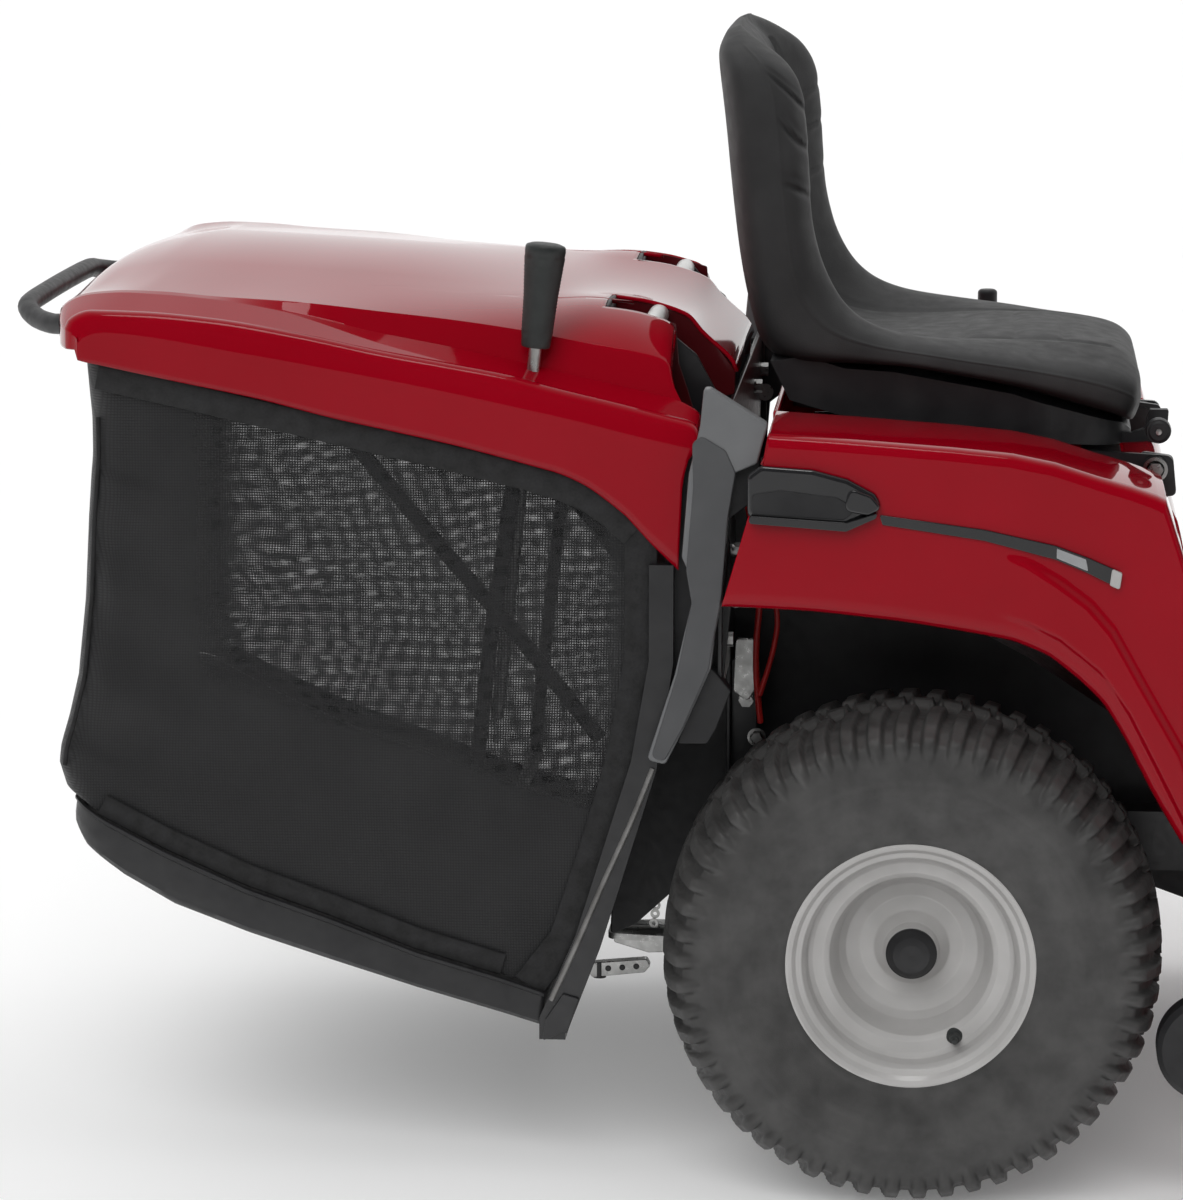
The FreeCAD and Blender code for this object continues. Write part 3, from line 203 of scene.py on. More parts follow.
def mesh_material():
    """Woven bag cloth: a 2.6 mm weave, open in the window of each side panel and denser round it."""
    m = bpy.data.materials.new("mesh_fabric")
    m.use_nodes = True
    N, L = m.node_tree.nodes, m.node_tree.links
    b = N["Principled BSDF"]
    tc = N.new("ShaderNodeTexCoord")
    sep = N.new("ShaderNodeSeparateXYZ")
    L.new(tc.outputs["Object"], sep.inputs[0])

    def math_(op, a, c=None):
        n = N.new("ShaderNodeMath")
        n.operation = op
        for k, v in enumerate((a, c)):
            if v is None:
                continue
            if isinstance(v, (int, float)):
                n.inputs[k].default_value = v
            else:
                L.new(v, n.inputs[k])
        return n.outputs[0]

    def smooth(v, lo, hi):
        n = N.new("ShaderNodeMapRange")
        n.interpolation_type = "SMOOTHSTEP"
        n.inputs["From Min"].default_value = lo
        n.inputs["From Max"].default_value = hi
        L.new(v, n.inputs["Value"])
        return n.outputs["Result"]

    x, y, z = sep.outputs["X"], sep.outputs["Y"], sep.outputs["Z"]
    # yarns
    def yarn(c, pitch):
        return math_("ABSOLUTE", math_("SINE", math_("MULTIPLY", c, math.pi / pitch)))
    w1 = yarn(math_("ADD", x, y), 0.0026)
    w2 = yarn(z, 0.0026)
    weave = math_("MULTIPLY", w1, w2)
    hole = smooth(weave, 0.35, 0.75)
    # slow change of the cloth's openness: long wavy streaks where two layers' yarns fall in step
    n1 = N.new("ShaderNodeTexNoise")
    n1.inputs["Scale"].default_value = 4.0
    n1.inputs["Detail"].default_value = 1
    L.new(tc.outputs["Object"], n1.inputs["Vector"])
    bend = math_("MULTIPLY", n1.outputs["Fac"], 0.11)
    rows = math_("ADD", math_("ADD", math_("MULTIPLY", z, 1.0), math_("MULTIPLY", x, -0.16)), bend)
    cols = math_("ADD", math_("ADD", math_("MULTIPLY", x, 1.0), math_("MULTIPLY", z, 0.42)), bend)
    r1 = math_("ABSOLUTE", math_("SINE", math_("MULTIPLY", rows, math.pi / 0.0142)))
    c1 = math_("ABSOLUTE", math_("SINE", math_("MULTIPLY", cols, math.pi / 0.0225)))
    streak = math_("MULTIPLY", smooth(r1, 0.55, 1.0), smooth(c1, 0.30, 0.95))
    n2 = N.new("ShaderNodeTexNoise")
    n2.inputs["Scale"].default_value = 12.0
    L.new(tc.outputs["Object"], n2.inputs["Vector"])
    streak = math_("MULTIPLY", streak, math_("ADD", smooth(n2.outputs["Fac"], 0.36, 0.60), 0.25))
    # the window in the side panels
    xm = math_("SUBTRACT", x, OX)
    inside = math_("MULTIPLY", smooth(math_("ADD", xm, math_("MULTIPLY", smooth(y, -0.05, 0.05), 0.085)), -0.668, -0.628), smooth(math_("MULTIPLY", xm, -1.0), 0.262, 0.300))
    far = smooth(y, -0.05, 0.05)
    low = math_("ADD", math_("ADD", z, math_("MULTIPLY", xm, 0.33)), math_("MULTIPLY", far, 0.165))
    inside = math_("MULTIPLY", inside, smooth(low, 0.238, 0.262))
    high = math_("ADD", z, math_("MULTIPLY", xm, 0.21))
    inside = math_("MULTIPLY", inside, smooth(math_("MULTIPLY", high, -1.0), -0.600, -0.575))
    side = smooth(math_("ABSOLUTE", y), 0.30, 0.33)
    win = math_("MULTIPLY", inside, side)
    open_ = math_("ADD", math_("MULTIPLY", math_("ADD", math_("MULTIPLY", win, 0.37), 0.03), hole), math_("MULTIPLY", math_("MULTIPLY", streak, win), 0.20))
    alpha = math_("SUBTRACT", 1.0, open_)
    L.new(alpha, b.inputs["Alpha"])
    cr = N.new("ShaderNodeValToRGB")
    cr.color_ramp.elements[0].color = (0.006, 0.006, 0.0065, 1)
    cr.color_ramp.elements[1].color = (0.022, 0.022, 0.023, 1)
    L.new(weave, cr.inputs["Fac"])
    L.new(cr.outputs["Color"], b.inputs["Base Color"])
    rr = smooth(n2.outputs["Fac"], 0.2, 0.8)
    r2 = N.new("ShaderNodeMapRange")
    r2.inputs["To Min"].default_value = 0.62
    r2.inputs["To Max"].default_value = 0.78
    L.new(rr, r2.inputs["Value"])
    L.new(r2.outputs["Result"], b.inputs["Roughness"])
    bp = N.new("ShaderNodeBump")
    bp.inputs["Strength"].default_value = 0.6
    bp.inputs["Distance"].default_value = 0.0006
    L.new(weave, bp.inputs["Height"])
    L.new(bp.outputs["Normal"], b.inputs["Normal"])
    b.inputs["Sheen Weight"].default_value = 0.15
    return m


M["mesh_fabric"] = mesh_material()

# CAD nodes that stay take the matching material, with softened edges
slot_of = {s["node"]: s["material_slot"] for s in frame["record"]["subparts"]}
alias = {"wire_skin": "wire_red"}
for n, o in nodes.items():
    m = M.get(alias.get(slot_of[n], slot_of[n]))
    o.data.materials.clear()
    o.data.materials.append(m)


def soften(node, w=0.0012, ang=35):
    o = nodes[node]
    b = o.modifiers.new("edge", "BEVEL")
    b.width = w
    b.segments = 2
    b.limit_method = "ANGLE"
    b.angle_limit = math.radians(ang)


# ------------------------------------------------------------------ helpers
def finish_mesh(name, bm, body, material, smooth=True, replaces=(), recalc=True):
    if recalc:
        bmesh.ops.recalc_face_normals(bm, faces=bm.faces)
    me = bpy.data.meshes.new(name)
    bm.to_mesh(me)
    bm.free()
    for p in me.polygons:
        p.use_smooth = smooth
    o = bpy.data.objects.new(name, me)
    bpy.context.scene.collection.objects.link(o)
    me.materials.append(M[material] if isinstance(material, str) else material)
    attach(o, body)
    if replaces:
        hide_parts(*replaces)
    return o


def mod_bevel(o, w, seg=3, ang=30):
    b = o.modifiers.new("bevel", "BEVEL")
    b.width = w
    b.segments = seg
    b.limit_method = "ANGLE"
    b.angle_limit = math.radians(ang)
    b.harden_normals = False
    return b


def mod_solid(o, t, off=-1.0):
    s = o.modifiers.new("skin", "SOLIDIFY")
    s.thickness = t
    s.offset = off
    return s


def auto_smooth(o, deg=40):
    """Sharp edges where faces meet at more than deg, smooth elsewhere."""
    bm = bmesh.new()
    bm.from_mesh(o.data)
    for e in bm.edges:
        e.smooth = not (len(e.link_faces) == 2 and e.calc_face_angle(0) > math.radians(deg))
    bm.to_mesh(o.data)
    bm.free()


def grid(bm, P, closed_u=False, closed_v=False):
    """P[i][j] -> Vector. Returns the vertex grid."""
    V_ = [[bm.verts.new(p) for p in row] for row in P]
    nu, nv = len(P), len(P[0])
    for i in range(nu if closed_u else nu - 1):
        for j in range(nv if closed_v else nv - 1):
            a, b = V_[i][j], V_[(i + 1) % nu][j]
            c, d = V_[(i + 1) % nu][(j + 1) % nv], V_[i][(j + 1) % nv]
            if len({a, b, c, d}) == 4:
                bm.faces.new((a, b, c, d))
    return V_


def lerp_table(tab, x):
    xs = [t[0] for t in tab]
    ys = [t[1] for t in tab]
    if xs[0] > xs[-1]:
        xs, ys = xs[::-1], ys[::-1]
    return float(np.interp(x, xs, ys))


def smooth_table(tab, x):
    """Monotone-ish cubic through the points of a table sorted by x."""
    xs = np.array([t[0] for t in tab], float)
    ys = np.array([t[1] for t in tab], float)
    if x <= xs[0]:
        return float(ys[0] + (x - xs[0]) * (ys[1] - ys[0]) / (xs[1] - xs[0]))
    if x >= xs[-1]:
        return float(ys[-1] + (x - xs[-1]) * (ys[-1] - ys[-2]) / (xs[-1] - xs[-2]))
    i = int(np.searchsorted(xs, x) - 1)
    h = np.diff(xs)
    d = np.diff(ys) / h
    def slope(k):
        if k == 0:
            return d[0]
        if k == len(xs) - 1:
            return d[-1]
        if d[k - 1] * d[k] <= 0:
            return 0.0
        return 2 * d[k - 1] * d[k] / (d[k - 1] + d[k])
    m0, m1 = slope(i), slope(i + 1)
    t = (x - xs[i]) / h[i]
    return float((2 * t**3 - 3 * t**2 + 1) * ys[i] + (t**3 - 2 * t**2 + t) * h[i] * m0 + (-2 * t**3 + 3 * t**2) * ys[i + 1] + (t**3 - t**2) * h[i] * m1)


def sstep(a, b, x):
    t = max(0.0, min(1.0, (x - a) / (b - a)))
    return t * t * (3 - 2 * t)


def resample(pts, n, closed=False):
    P = [np.array(p, float) for p in pts]
    if closed:
        P = P + [P[0]]
    seg = [np.linalg.norm(P[i + 1] - P[i]) for i in range(len(P) - 1)]
    cum = np.concatenate([[0], np.cumsum(seg)])
    out = []
    for k in range(n):
        s = cum[-1] * (k / (n if closed else n - 1))
        i = min(len(seg) - 1, int(np.searchsorted(cum, s, side="right") - 1))
        t = (s - cum[i]) / (seg[i] or 1)
        out.append(tuple(P[i] * (1 - t) + P[i + 1] * t))
    return out


def rounded(pts, r, seg=4):
    """2-D closed outline with its corners rounded."""
    out = []
    n = len(pts)
    for i in range(n):
        p = np.array(pts[i][:2], float)
        rr = pts[i][2] if len(pts[i]) > 2 else r
        a, b = np.array(pts[i - 1][:2], float), np.array(pts[(i + 1) % n][:2], float)
        u, v = a - p, b - p
        lu, lv = np.linalg.norm(u), np.linalg.norm(v)
        u, v = u / lu, v / lv
        ang = math.acos(max(-1, min(1, float(u @ v))))
        if rr <= 0 or ang > math.radians(174):
            out.append(tuple(p))
            continue
        t = min(rr / math.tan(ang / 2), 0.46 * lu, 0.46 * lv)
        s, e = p + u * t, p + v * t
        for k in range(seg + 1):
            w = k / seg
            q = (1 - w) ** 2 * s + 2 * w * (1 - w) * p + w * w * e
            out.append(tuple(q))
    return out


def prism(name, pts, y0, y1, body, material, r=3.0, bevel=1.5, replaces=(), seg=3, ang=30):
    """Side-view outline (x, z) from y0 to y1, with rounded corners and softened edges."""
    q = rounded(pts, r)
    bm = bmesh.new()
    a = [bm.verts.new(W(x, y0, z)) for x, z in q]
    b = [bm.verts.new(W(x, y1, z)) for x, z in q]
    bm.faces.new(a)
    bm.faces.new(b[::-1])
    n = len(q)
    for i in range(n):
        bm.faces.new((a[i], b[i], b[(i + 1) % n], a[(i + 1) % n]))
    o = finish_mesh(name, bm, body, material, smooth=True, replaces=replaces)
    auto_smooth(o, 40)
    if bevel:
        mod_bevel(o, bevel / 1000.0, seg, ang)
    return o


def revolve(name, prof, cx, cz, y0, side, body, material, n=128, closed=True, replaces=(), smooth_deg=35, r=0.0):
    """Section (radius, offset) turned about the Y-parallel axis through (cx, cz)."""
    q = rounded(prof, r, 3) if r else [p[:2] for p in prof]
    bm = bmesh.new()
    P = []
    for k in range(n):
        t = 2 * math.pi * k / n
        P.append([W(cx + rr * math.cos(t), y0 + side * yy, cz + rr * math.sin(t)) for rr, yy in q])
    grid(bm, P, closed_u=True, closed_v=closed)
    bmesh.ops.remove_doubles(bm, verts=bm.verts, dist=1e-6)
    o = finish_mesh(name, bm, body, material, replaces=replaces)
    auto_smooth(o, smooth_deg)
    return o


def pipe(name, pts, r, body, material, res=12, replaces=(), smooth_path=True, caps=True):
    """Round bar along a smooth path (points in W millimetres), as a mesh."""
    P = [np.array(p, float) for p in pts]
    if smooth_path and len(P) > 2:
        # Catmull-Rom
        Q = [2 * P[0] - P[1]] + P + [2 * P[-1] - P[-2]]
        out = []
        for i in range(1, len(Q) - 2):
            for k in range(10):
                t = k / 10
                a, b, c, d = Q[i - 1], Q[i], Q[i + 1], Q[i + 2]
                out.append(0.5 * ((2 * b) + (-a + c) * t + (2 * a - 5 * b + 4 * c - d) * t * t + (-a + 3 * b - 3 * c + d) * t**3))
        out.append(P[-1])
        P = out
    bm = bmesh.new()
    rings = []
    up = None
    for i, p in enumerate(P):
        t = P[min(i + 1, len(P) - 1)] - P[max(i - 1, 0)]
        t = Vector(t).normalized()
        if up is None:
            up = Vector((0, 0, 1)) if abs(t.z) < 0.9 else Vector((1, 0, 0))
        s = t.cross(up).normalized()
        up = s.cross(t).normalized()
        rr = r(i / (len(P) - 1)) if callable(r) else r
        rings.append([W(*(np.array(p) + np.array(s * math.cos(a) * rr + up * math.sin(a) * rr))) for a in [2 * math.pi * k / res for k in range(res)]])
    V_ = grid(bm, rings, closed_v=True)
    if caps:
        bm.faces.new(V_[0])
        bm.faces.new(V_[-1][::-1])
    o = finish_mesh(name, bm, body, material, replaces=replaces)
    auto_smooth(o, 50)
    return o


def hexbolt(name, x, y, z, side, body, r=7.0, material="zinc_steel"):
    bm = bmesh.new()
    P = []
    prof = [(0.2, 0), (r * 1.45, 0), (r * 1.45, 1.6), (r * 1.05, 1.8)]
    for k in range(36):
        t = 2 * math.pi * k / 36
        P.append([W(x + a * math.cos(t), y + side * b, z + a * math.sin(t)) for a, b in prof])
    grid(bm, P, closed_u=True)
    hx = [[W(x + a * math.cos(math.pi / 3 * k), y + side * b, z + a * math.sin(math.pi / 3 * k)) for a, b in ((r, 1.8), (r, 6.4), (r * 0.9, 7.2), (0.2, 7.2))] for k in range(6)]
    grid(bm, hx, closed_u=True)
    o = finish_mesh(name, bm, body, material, smooth=False)
    return o


# -------------------------------------------------------------------- tyres
def tyre(name, R, half, bead_r, bead_y, cx, cz, y0, side, body, node, lugs, nth, lug_h):
    """Turf tyre: round shoulders, curved block lugs, ribbed crown, smooth sidewalls."""
    # half profile from the crown to the bead (radius, offset)
    base = [(R - lug_h, 0), (R - lug_h, half * 0.22), (R - lug_h - 1.5, half * 0.5), (R - lug_h - 6, half * 0.72), (R - lug_h - 15, half * 0.885), (R - lug_h - 29, half * 0.965),
            (R - 52 * R / 226, half * 0.995), (R - 68 * R / 226, half * 0.985), (R - 88 * R / 226, half * 0.93), (bead_r + 10, half * 0.865), (bead_r + 4, half * 0.83), (bead_r, bead_y), (bead_r - 4, bead_y - 3)]
    n_prof = 72
    h = resample(base, n_prof)
    seg = [0.0]
    for i in range(1, n_prof):
        seg.append(seg[-1] + math.dist(h[i], h[i - 1]))
    s_sh = seg[-1] * 0.56      # where the lugs end on the shoulder
    # normals of the profile
    nr = []
    for i in range(n_prof):
        a, b = h[max(i - 1, 0)], h[min(i + 1, n_prof - 1)]
        tx, ty = b[0] - a[0], b[1] - a[1]
        l = math.hypot(tx, ty)
        nr.append((ty / l, -tx / l))
    bm = bmesh.new()
    P = []
    pitch = 2 * math.pi / lugs
    for k in range(nth):
        th = 2 * math.pi * k / nth
        row = []
        for sgn in (1, -1):
            rng = range(n_prof - 1, -1, -1) if sgn > 0 else range(1, n_prof)
            for i in rng:
                s = seg[i] / s_sh
                d = 0.0
                if s < 1.0:
                    # lugs sweep back towards the shoulder; each side is half a pitch off the other
                    ph = th / pitch + (0.0 if sgn > 0 else 0.5) + 0.42 * math.sin(min(1.0, s) * 1.75) * sgn * side
                    f = abs((ph % 1.0) - 0.5) * 2       # 0 in the lug's middle, 1 between lugs
                    wid = 0.62 - 0.12 * s
                    lug = 1 - sstep(wid - 0.13, wid + 0.13, f)
                    lug *= sstep(0.17, 0.22, s) * (1 - sstep(0.86 - 0.10 * f, 1.0 - 0.10 * f, s))
                    # crown: a row of small blocks between two narrow circumferential grooves
                    ph2 = (th / pitch * 1.0 + 0.25) % 1.0
                    f2 = abs(ph2 - 0.5) * 2
                    zig = 0.085 + 0.03 * (1 if f2 > 0.5 else -1)
                    crown = (1 - sstep(zig, zig + 0.035, s)) * (1 - sstep(0.80, 0.92, f2) * 0.8)
                    d = lug_h * max(lug, crown)
                # faint raised rings on the sidewall
                q = seg[i] / seg[-1]
                d += 0.7 * (math.exp(-((q - 0.66) / 0.006) ** 2) + math.exp(-((q - 0.90) / 0.008) ** 2))
                arc = 1.0 if (th * 3 / (2 * math.pi)) % 1.0 < 0.62 else 0.0
                d += 0.55 * arc * math.exp(-((q - 0.76) / 0.007) ** 2)
                rr = h[i][0] + nr[i][0] * d
                yy = (h[i][1] + nr[i][1] * d) * sgn
                row.append(W(cx + rr * math.cos(th), y0 + side * yy, cz + rr * math.sin(th)))
        P.append(row)
    grid(bm, P, closed_u=True)
    o = finish_mesh(name, bm, body, "tyre_rubber", replaces=(node,))
    return o


for nm, s in (("right", -1), ("left", 1)):
    tyre("tyre_rear_" + nm, 226.0, 107.5, 103.5, 84.4, 0, 226, s * 350, s, "rear_wheel_" + nm, "rear_tyre_" + nm, 54, 864, 7.5)
    tyre("tyre_front_" + nm, 190.0, 75.0, 78.8, 58.4, 1195, 190, s * 385, s, "front_wheel_" + nm, "front_tyre_" + nm, 48, 672, 6.0)
    # rims: rolled outer lip, stepped well, deep dish and a raised hub cone
    rim = [(114, 87.5, 1.2), (114.6, 91.3, 1.6), (110.5, 92.6, 1.6), (106.5, 90.5, 2), (103, 86.0, 2), (98.0, 84.2, 3), (94.5, 78, 3), (93.0, 66, 3), (88.5, 62.5, 3), (78.5, 60.5, 2.5), (73.5, 57, 3),
           (70, 45, 5), (66.0, 30, 6), (60, 22.5, 5), (47, 17.5, 4), (34, 20.5, 5), (25.5, 32, 4), (23.5, 44, 1.5), (10.2, 44.3, 0), (10.2, -10), (20, -10), (20, 12), (34, 10), (48, 6), (72, 14), (82, 48), (90, 50), (93.8, 44),
           (94, -80), (101, -91.5), (114, -91.5), (114, -88), (103, -86), (99, -78), (99, 76), (104, 86)]
    revolve("rim_rear_" + nm, rim, 0, 226, s * 350, s, "rear_wheel_" + nm, "grey_paint", n=160, replaces=("rear_rim_" + nm,), r=1.0, smooth_deg=50)
    frim = [(88, 61.5), (88.3, 65.3, 1.2), (84, 66.6, 1.2), (80, 62, 2), (75, 58, 2), (72.5, 44, 3), (64, 38, 3), (57, 34, 3), (50, 19, 4), (38, 14, 4), (24, 17, 4), (19, 30, 2), (8.2, 30, 0), (8.2, -30), (17, -30), (17, 4), (34, 4), (54, 8),
            (64, 28), (70, 30), (71, -54), (77, -65.5), (88, -65.5), (88, -61.5), (78, -60), (75, -52), (75, 50), (79, 60)]
    revolve("rim_front_" + nm, frim, 1195, 190, s * 385, s, "front_wheel_" + nm, "grey_paint", n=128, replaces=("front_rim_" + nm,), r=1.0, smooth_deg=50)
    # hub caps
    cap = [(0.01, 12.2), (10, 12.0), (16.5, 10.6, 2), (20.2, 7.0, 2), (21.8, 5.0, 1), (23.2, 4.0, 1), (23.2, 0.4), (0.01, 0.4)]
    revolve("hub_cap_rear_" + nm, cap, 0, 226, s * 393.9, s, "rear_wheel_" + nm, "black_plastic", n=72, closed=False, r=0.6, smooth_deg=45)
    revolve("hub_cap_front_" + nm, [(a * 0.82, b) for a, b, *_ in [(p + (0,))[:3] for p in cap]], 1195, 190, s * (max(abs(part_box("spindle_" + nm)[0].y), abs(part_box("spindle_" + nm)[1].y)) * 1000 + 0.6), s, "front_wheel_" + nm, "black_plastic", n=60, closed=False, smooth_deg=45)
    # tyre valves
    va = math.radians(-61)
    vx, vz = 83 * math.cos(va), 226 + 83 * math.sin(va)
    revolve("valve_rear_" + nm, [(0.01, 18), (2.2, 18), (2.6, 17), (2.6, 10), (4.2, 9), (5.2, 2), (7.5, 0), (8.2, -4), (0.01, -4)], vx, vz, s * 411.5, s, "rear_wheel_" + nm, "grip_rubber", n=28, closed=False)
    va = math.radians(-140)
    revolve("valve_front_" + nm, [(0.01, 14), (2.2, 14), (2.5, 13), (2.5, 8), (4.0, 7), (5.0, 1), (6.5, -3), (0.01, -3)], 1195 + 62 * math.cos(va), 190 + 62 * math.sin(va), s * 424, s, "front_wheel_" + nm, "grip_rubber", n=28, closed=False)
    nodes["rear_axle_shaft_" + nm].data.materials[0] = M["black_plastic"]

# ---------------------------------------------------------- collector cover
# heights along X at the crown and at the break lines of one side
C0 = [(-797, 803), (-790, 806), (-743, 820), (-712, 824.5), (-677, 825), (-577, 821), (-510, 817), (-390, 803), (-348, 799), (-306, 790), (-256, 783), (-231, 776), (-206, 759), (-172, 733)]
C150 = [(-797, 799), (-760, 812), (-700, 820), (-600, 816), (-500, 810), (-400, 801), (-300, 794), (-265, 790), (-240, 784), (-218, 775), (-205, 760), (-172, 731)]
CR = [(-797, 795), (-760, 802), (-735, 803.5), (-700, 802.5), (-652, 798.7), (-572, 793.9), (-498, 786.4), (-433, 779.6), (-370, 771.0), (-313, 760.5), (-250, 749.1), (-222, 741), (-172, 727)]
CI = [(-797, 794.5), (-760, 801.5), (-735, 803), (-700, 801.5), (-650, 797.5), (-570, 784.3), (-496, 768.4), (-432, 756.6), (-375, 745), (-337, 736.4), (-268, 721), (-222, 711), (-172, 700)]
CO = [(-797, 786), (-770, 795.5), (-745, 799.0), (-701, 798.0), (-634, 792.3), (-556, 779.6), (-484, 765.0), (-420, 754.0), (-363, 743.5), (-336, 736), (-267, 720), (-222, 709), (-172, 698)]
CS = [(-797, 776), (-760, 785), (-734, 787), (-600, 769.6), (-471, 748.4), (-379, 730.4), (-300, 714), (-222, 698), (-172, 688)]
SK = [(-797, 764), (-765, 764), (-760, 756), (-734, 750), (-665, 736), (-595, 722), (-526, 705), (-464, 692), (-413, 681), (-344.5, 663.5), (-321, 657), (-298.5, 647), (-275.5, 631), (-253, 612.5), (-229.5, 594), (-213.4, 583)]
REAR = [(0, -797), (170, -795), (300, -786), (365, -769), (375, -752)]
HALF = 375.0


def cover_z(x, y):
    """Crown, a soft fall to the break line, a steep riser, a narrow flat ledge and the shoulder."""
    a = abs(y)
    yr, yi = 312.0, 319.5
    z0, z1 = smooth_table(C0, x), smooth_table(C150, x)
    zr = smooth_table(CR, x - (yr - 250) * (57 - x) / 4290) + 0.1277 * (yr - 250)
    zi = smooth_table(CI, x - (yi - 262) * (57 - x) / 4290) + 0.1277 * (yi - 262)
    zo = smooth_table(CO, x)
    zr = min(zr, z1 - 1.0)
    zi = min(zi, zr - 0.3)
    zo = min(zo, zi - 0.5)
    if a <= 150:
        t = a / 150
        return z0 + (z1 - z0) * t * t
    if a <= yr - 2:
        t = (a - 150) / (yr - 152)
        m = 2 * (z1 - z0) / 150 * (yr - 152)
        return z1 + m * t + (zr - z1 - m) * t ** 3
    if a <= yi:
        return zr + (zi - zr) * (a - yr + 2) / (yi - yr + 2)
    if a <= 359:
        return zi + (zo - zi) * (a - yi) / (359 - yi)
    zs = smooth_table(CS, x)
    t = (a - 359) / (HALF - 2.0 - 359)
    return zo - (zo - zs) * (1 - math.sqrt(max(0.0, 1 - min(1.0, t) ** 2.6)))


def cover_piece():
    bm = bmesh.new()
    ys = []
    # closer rows at the break lines
    stops = [0, 60, 120, 148, 151, 200, 239, 241, 304, 307, 309, 310, 311, 314, 316, 318.5, 319.5, 320.5, 324, 329, 355, 358, 359, 360, 363.5, 366.5, 369, 371, 372.4, 373]
    for a, b in zip(stops, stops[1:]):
        n = 1 if b - a < 6 else int((b - a) / 5)
        ys += [a + (b - a) * k / n for k in range(n)]
    ys.append(stops[-1])
    full = [-y for y in ys[::-1]][:-1] + ys

    def x_rear(y):
        return smooth_table(REAR, abs(y))

    def x_front(y):
        a = abs(y)
        return -172.0 if a <= 200 else -224.0 + 29.0 * sstep(310, 330, a)

    nx = 150
    P = []
    for i in range(nx + 1):
        u = i / nx
        u = u + 0.06 * math.sin(2 * math.pi * u) * -0.5
        row = []
        for y in full:
            xr, xf = x_rear(y), x_front(y)
            x = xr + (xf - xr) * u
            z = cover_z(x, y)
            # the rear end rolls over before the rear wall, and the nose over its tip
            d = x - xr
            if d < 26:
                z -= 13 * (1 - math.sqrt(max(0.0, 1 - (1 - d / 26) ** 2)))
            f = xf - x
            if f < 14:
                z -= 9 * (1 - math.sqrt(max(0.0, 1 - (1 - f / 14) ** 2)))
            row.append(W(x, y, z))
        P.append(row)
    V_ = grid(bm, P)
    # walls below: sides with the skirt's lower line, the rear wall and the nose's front
    ncol = len(full)
    loop = []
    for i in range(nx + 1):
        loop.append(V_[nx - i][0])
    for j in range(1, ncol):
        loop.append(V_[0][j])
    for i in range(1, nx + 1):
        loop.append(V_[i][ncol - 1])
    mids = []
    rows = 9
    for v in loop:
        x = (v.co.x - OX) * 1000
        y = v.co.y * 1000
        z = v.co.z * 1000
        side = abs(y) > 372
        zb = smooth_table(SK, x) if side else 764 if x < -740 else z - 40
        if side and x < -765:
            zb = 764
        col = []
        for k in range(1, rows + 1):
            t = k / rows
            zz = z + (zb - z) * t
            yy = y
            if side:
                sgn = 1 if y > 0 else -1
                # a thin raised line, then the skirt leans in a little at its hem
                line = smooth_table(CS, x) - 0.5
                yy = sgn * (HALF - 0.2 + 1.4 * math.exp(-((zz - line) / 3.2) ** 2) * sstep(-748, -715, x) * (1 - sstep(-400, -372, x)) - 1.5 * t * t)
            col.append(bm.verts.new(W(x, yy, zz)))
        mids.append(col)
    for i in range(len(loop) - 1):
        a, b = loop[i], loop[i + 1]
        ca, cb = mids[i], mids[i + 1]
        bm.faces.new((a, b, cb[0], ca[0]))
        for k in range(rows - 1):
            bm.faces.new((ca[k], cb[k], cb[k + 1], ca[k + 1]))
    # the skirt's front edge slants back from the shoulder to the lower corner
    for col in mids:
        for v in col:
            x = (v.co.x - OX) * 1000
            z = v.co.z * 1000
            if abs(v.co.y) > 0.372 and x > -260:
                edge = lerp_table([(560, -213.4), (583, -213.4), (652.5, -210), (676, -203.4), (706, -197), (729, -195), (780, -195)], z)
                v.co.x = OX + (-260 + (edge + 260) * (x + 260) / 65.0) / 1000
    # open notches for the tipping arms
    dead = []
    for f in bm.faces:
        c = f.calc_center_median()
        x, y, z = (c.x - OX) * 1000, abs(c.y) * 1000, c.z * 1000
        rr = 12.0
        if -289 < x and 150 < y < 240 and z > 600:
            dead.append(f)
    bmesh.ops.delete(bm, geom=dead, context="FACES")
    bmesh.ops.delete(bm, geom=[v for v in bm.verts if not v.link_faces], context="VERTS")
    o = finish_mesh("cover_shell", bm, "collector", "red_gloss", replaces=("collector_cover",))
    auto_smooth(o, 42)
    mod_solid(o, 0.0035)
    return o


cover_piece()
# the notches' walls: nose sides, tongue sides and the back of each notch, in darker red and black as painted shade
# inside the notches
for s in (-1, 1):
    tag = "right" if s < 0 else "left"
    nose = [(-290, 793.5), (-265, 789.5), (-240, 783.5), (-218, 774), (-205, 759), (-190, 742), (-175, 722), (-176, 700), (-200, 694), (-290, 730)]
    tongue = [(x, cover_z(x, 240) - 1.5) for x in (-290, -275, -260, -248, -238, -230, -225)] + [(-222, 740), (-214, 716), (-206, 690), (-290, 716)]
    prism("nose_wall_" + tag, nose, s * 149.5, s * 146, "collector", "red_shaded_inner", r=2, bevel=1.2)
    prism("tongue_wall_" + tag, tongue, s * 239.5, s * 240.8, "collector", "red_shaded_inner", r=2, bevel=1.2)
    bm = bmesh.new()
    ysn = [150 + 90 * k / 12 for k in range(13)]
    P = [[W(-290, s * y, cover_z(-290, y) - 0.5) for y in ysn], [W(-290.5, s * y, 740) for y in ysn], [W(-293, s * y, 738) for y in ysn]]
    grid(bm, P)
    # painted shade: the back of each notch is black plastic, standing in for the shadow inside the notch
    o = finish_mesh("notch_back_" + tag, bm, "collector", "black_plastic")
    mod_solid(o, 0.003)
# painted highlight: the hinge tubes get a pale colour that stands in for the reflection they show
M["tube_pale_highlight"] = mat("tube_pale_highlight", (0.62, 0.62, 0.61), (0.72, 0.72, 0.71), (0.28, 0.4), metal=0.3, scale=40, bump=0.15, bscale=900)

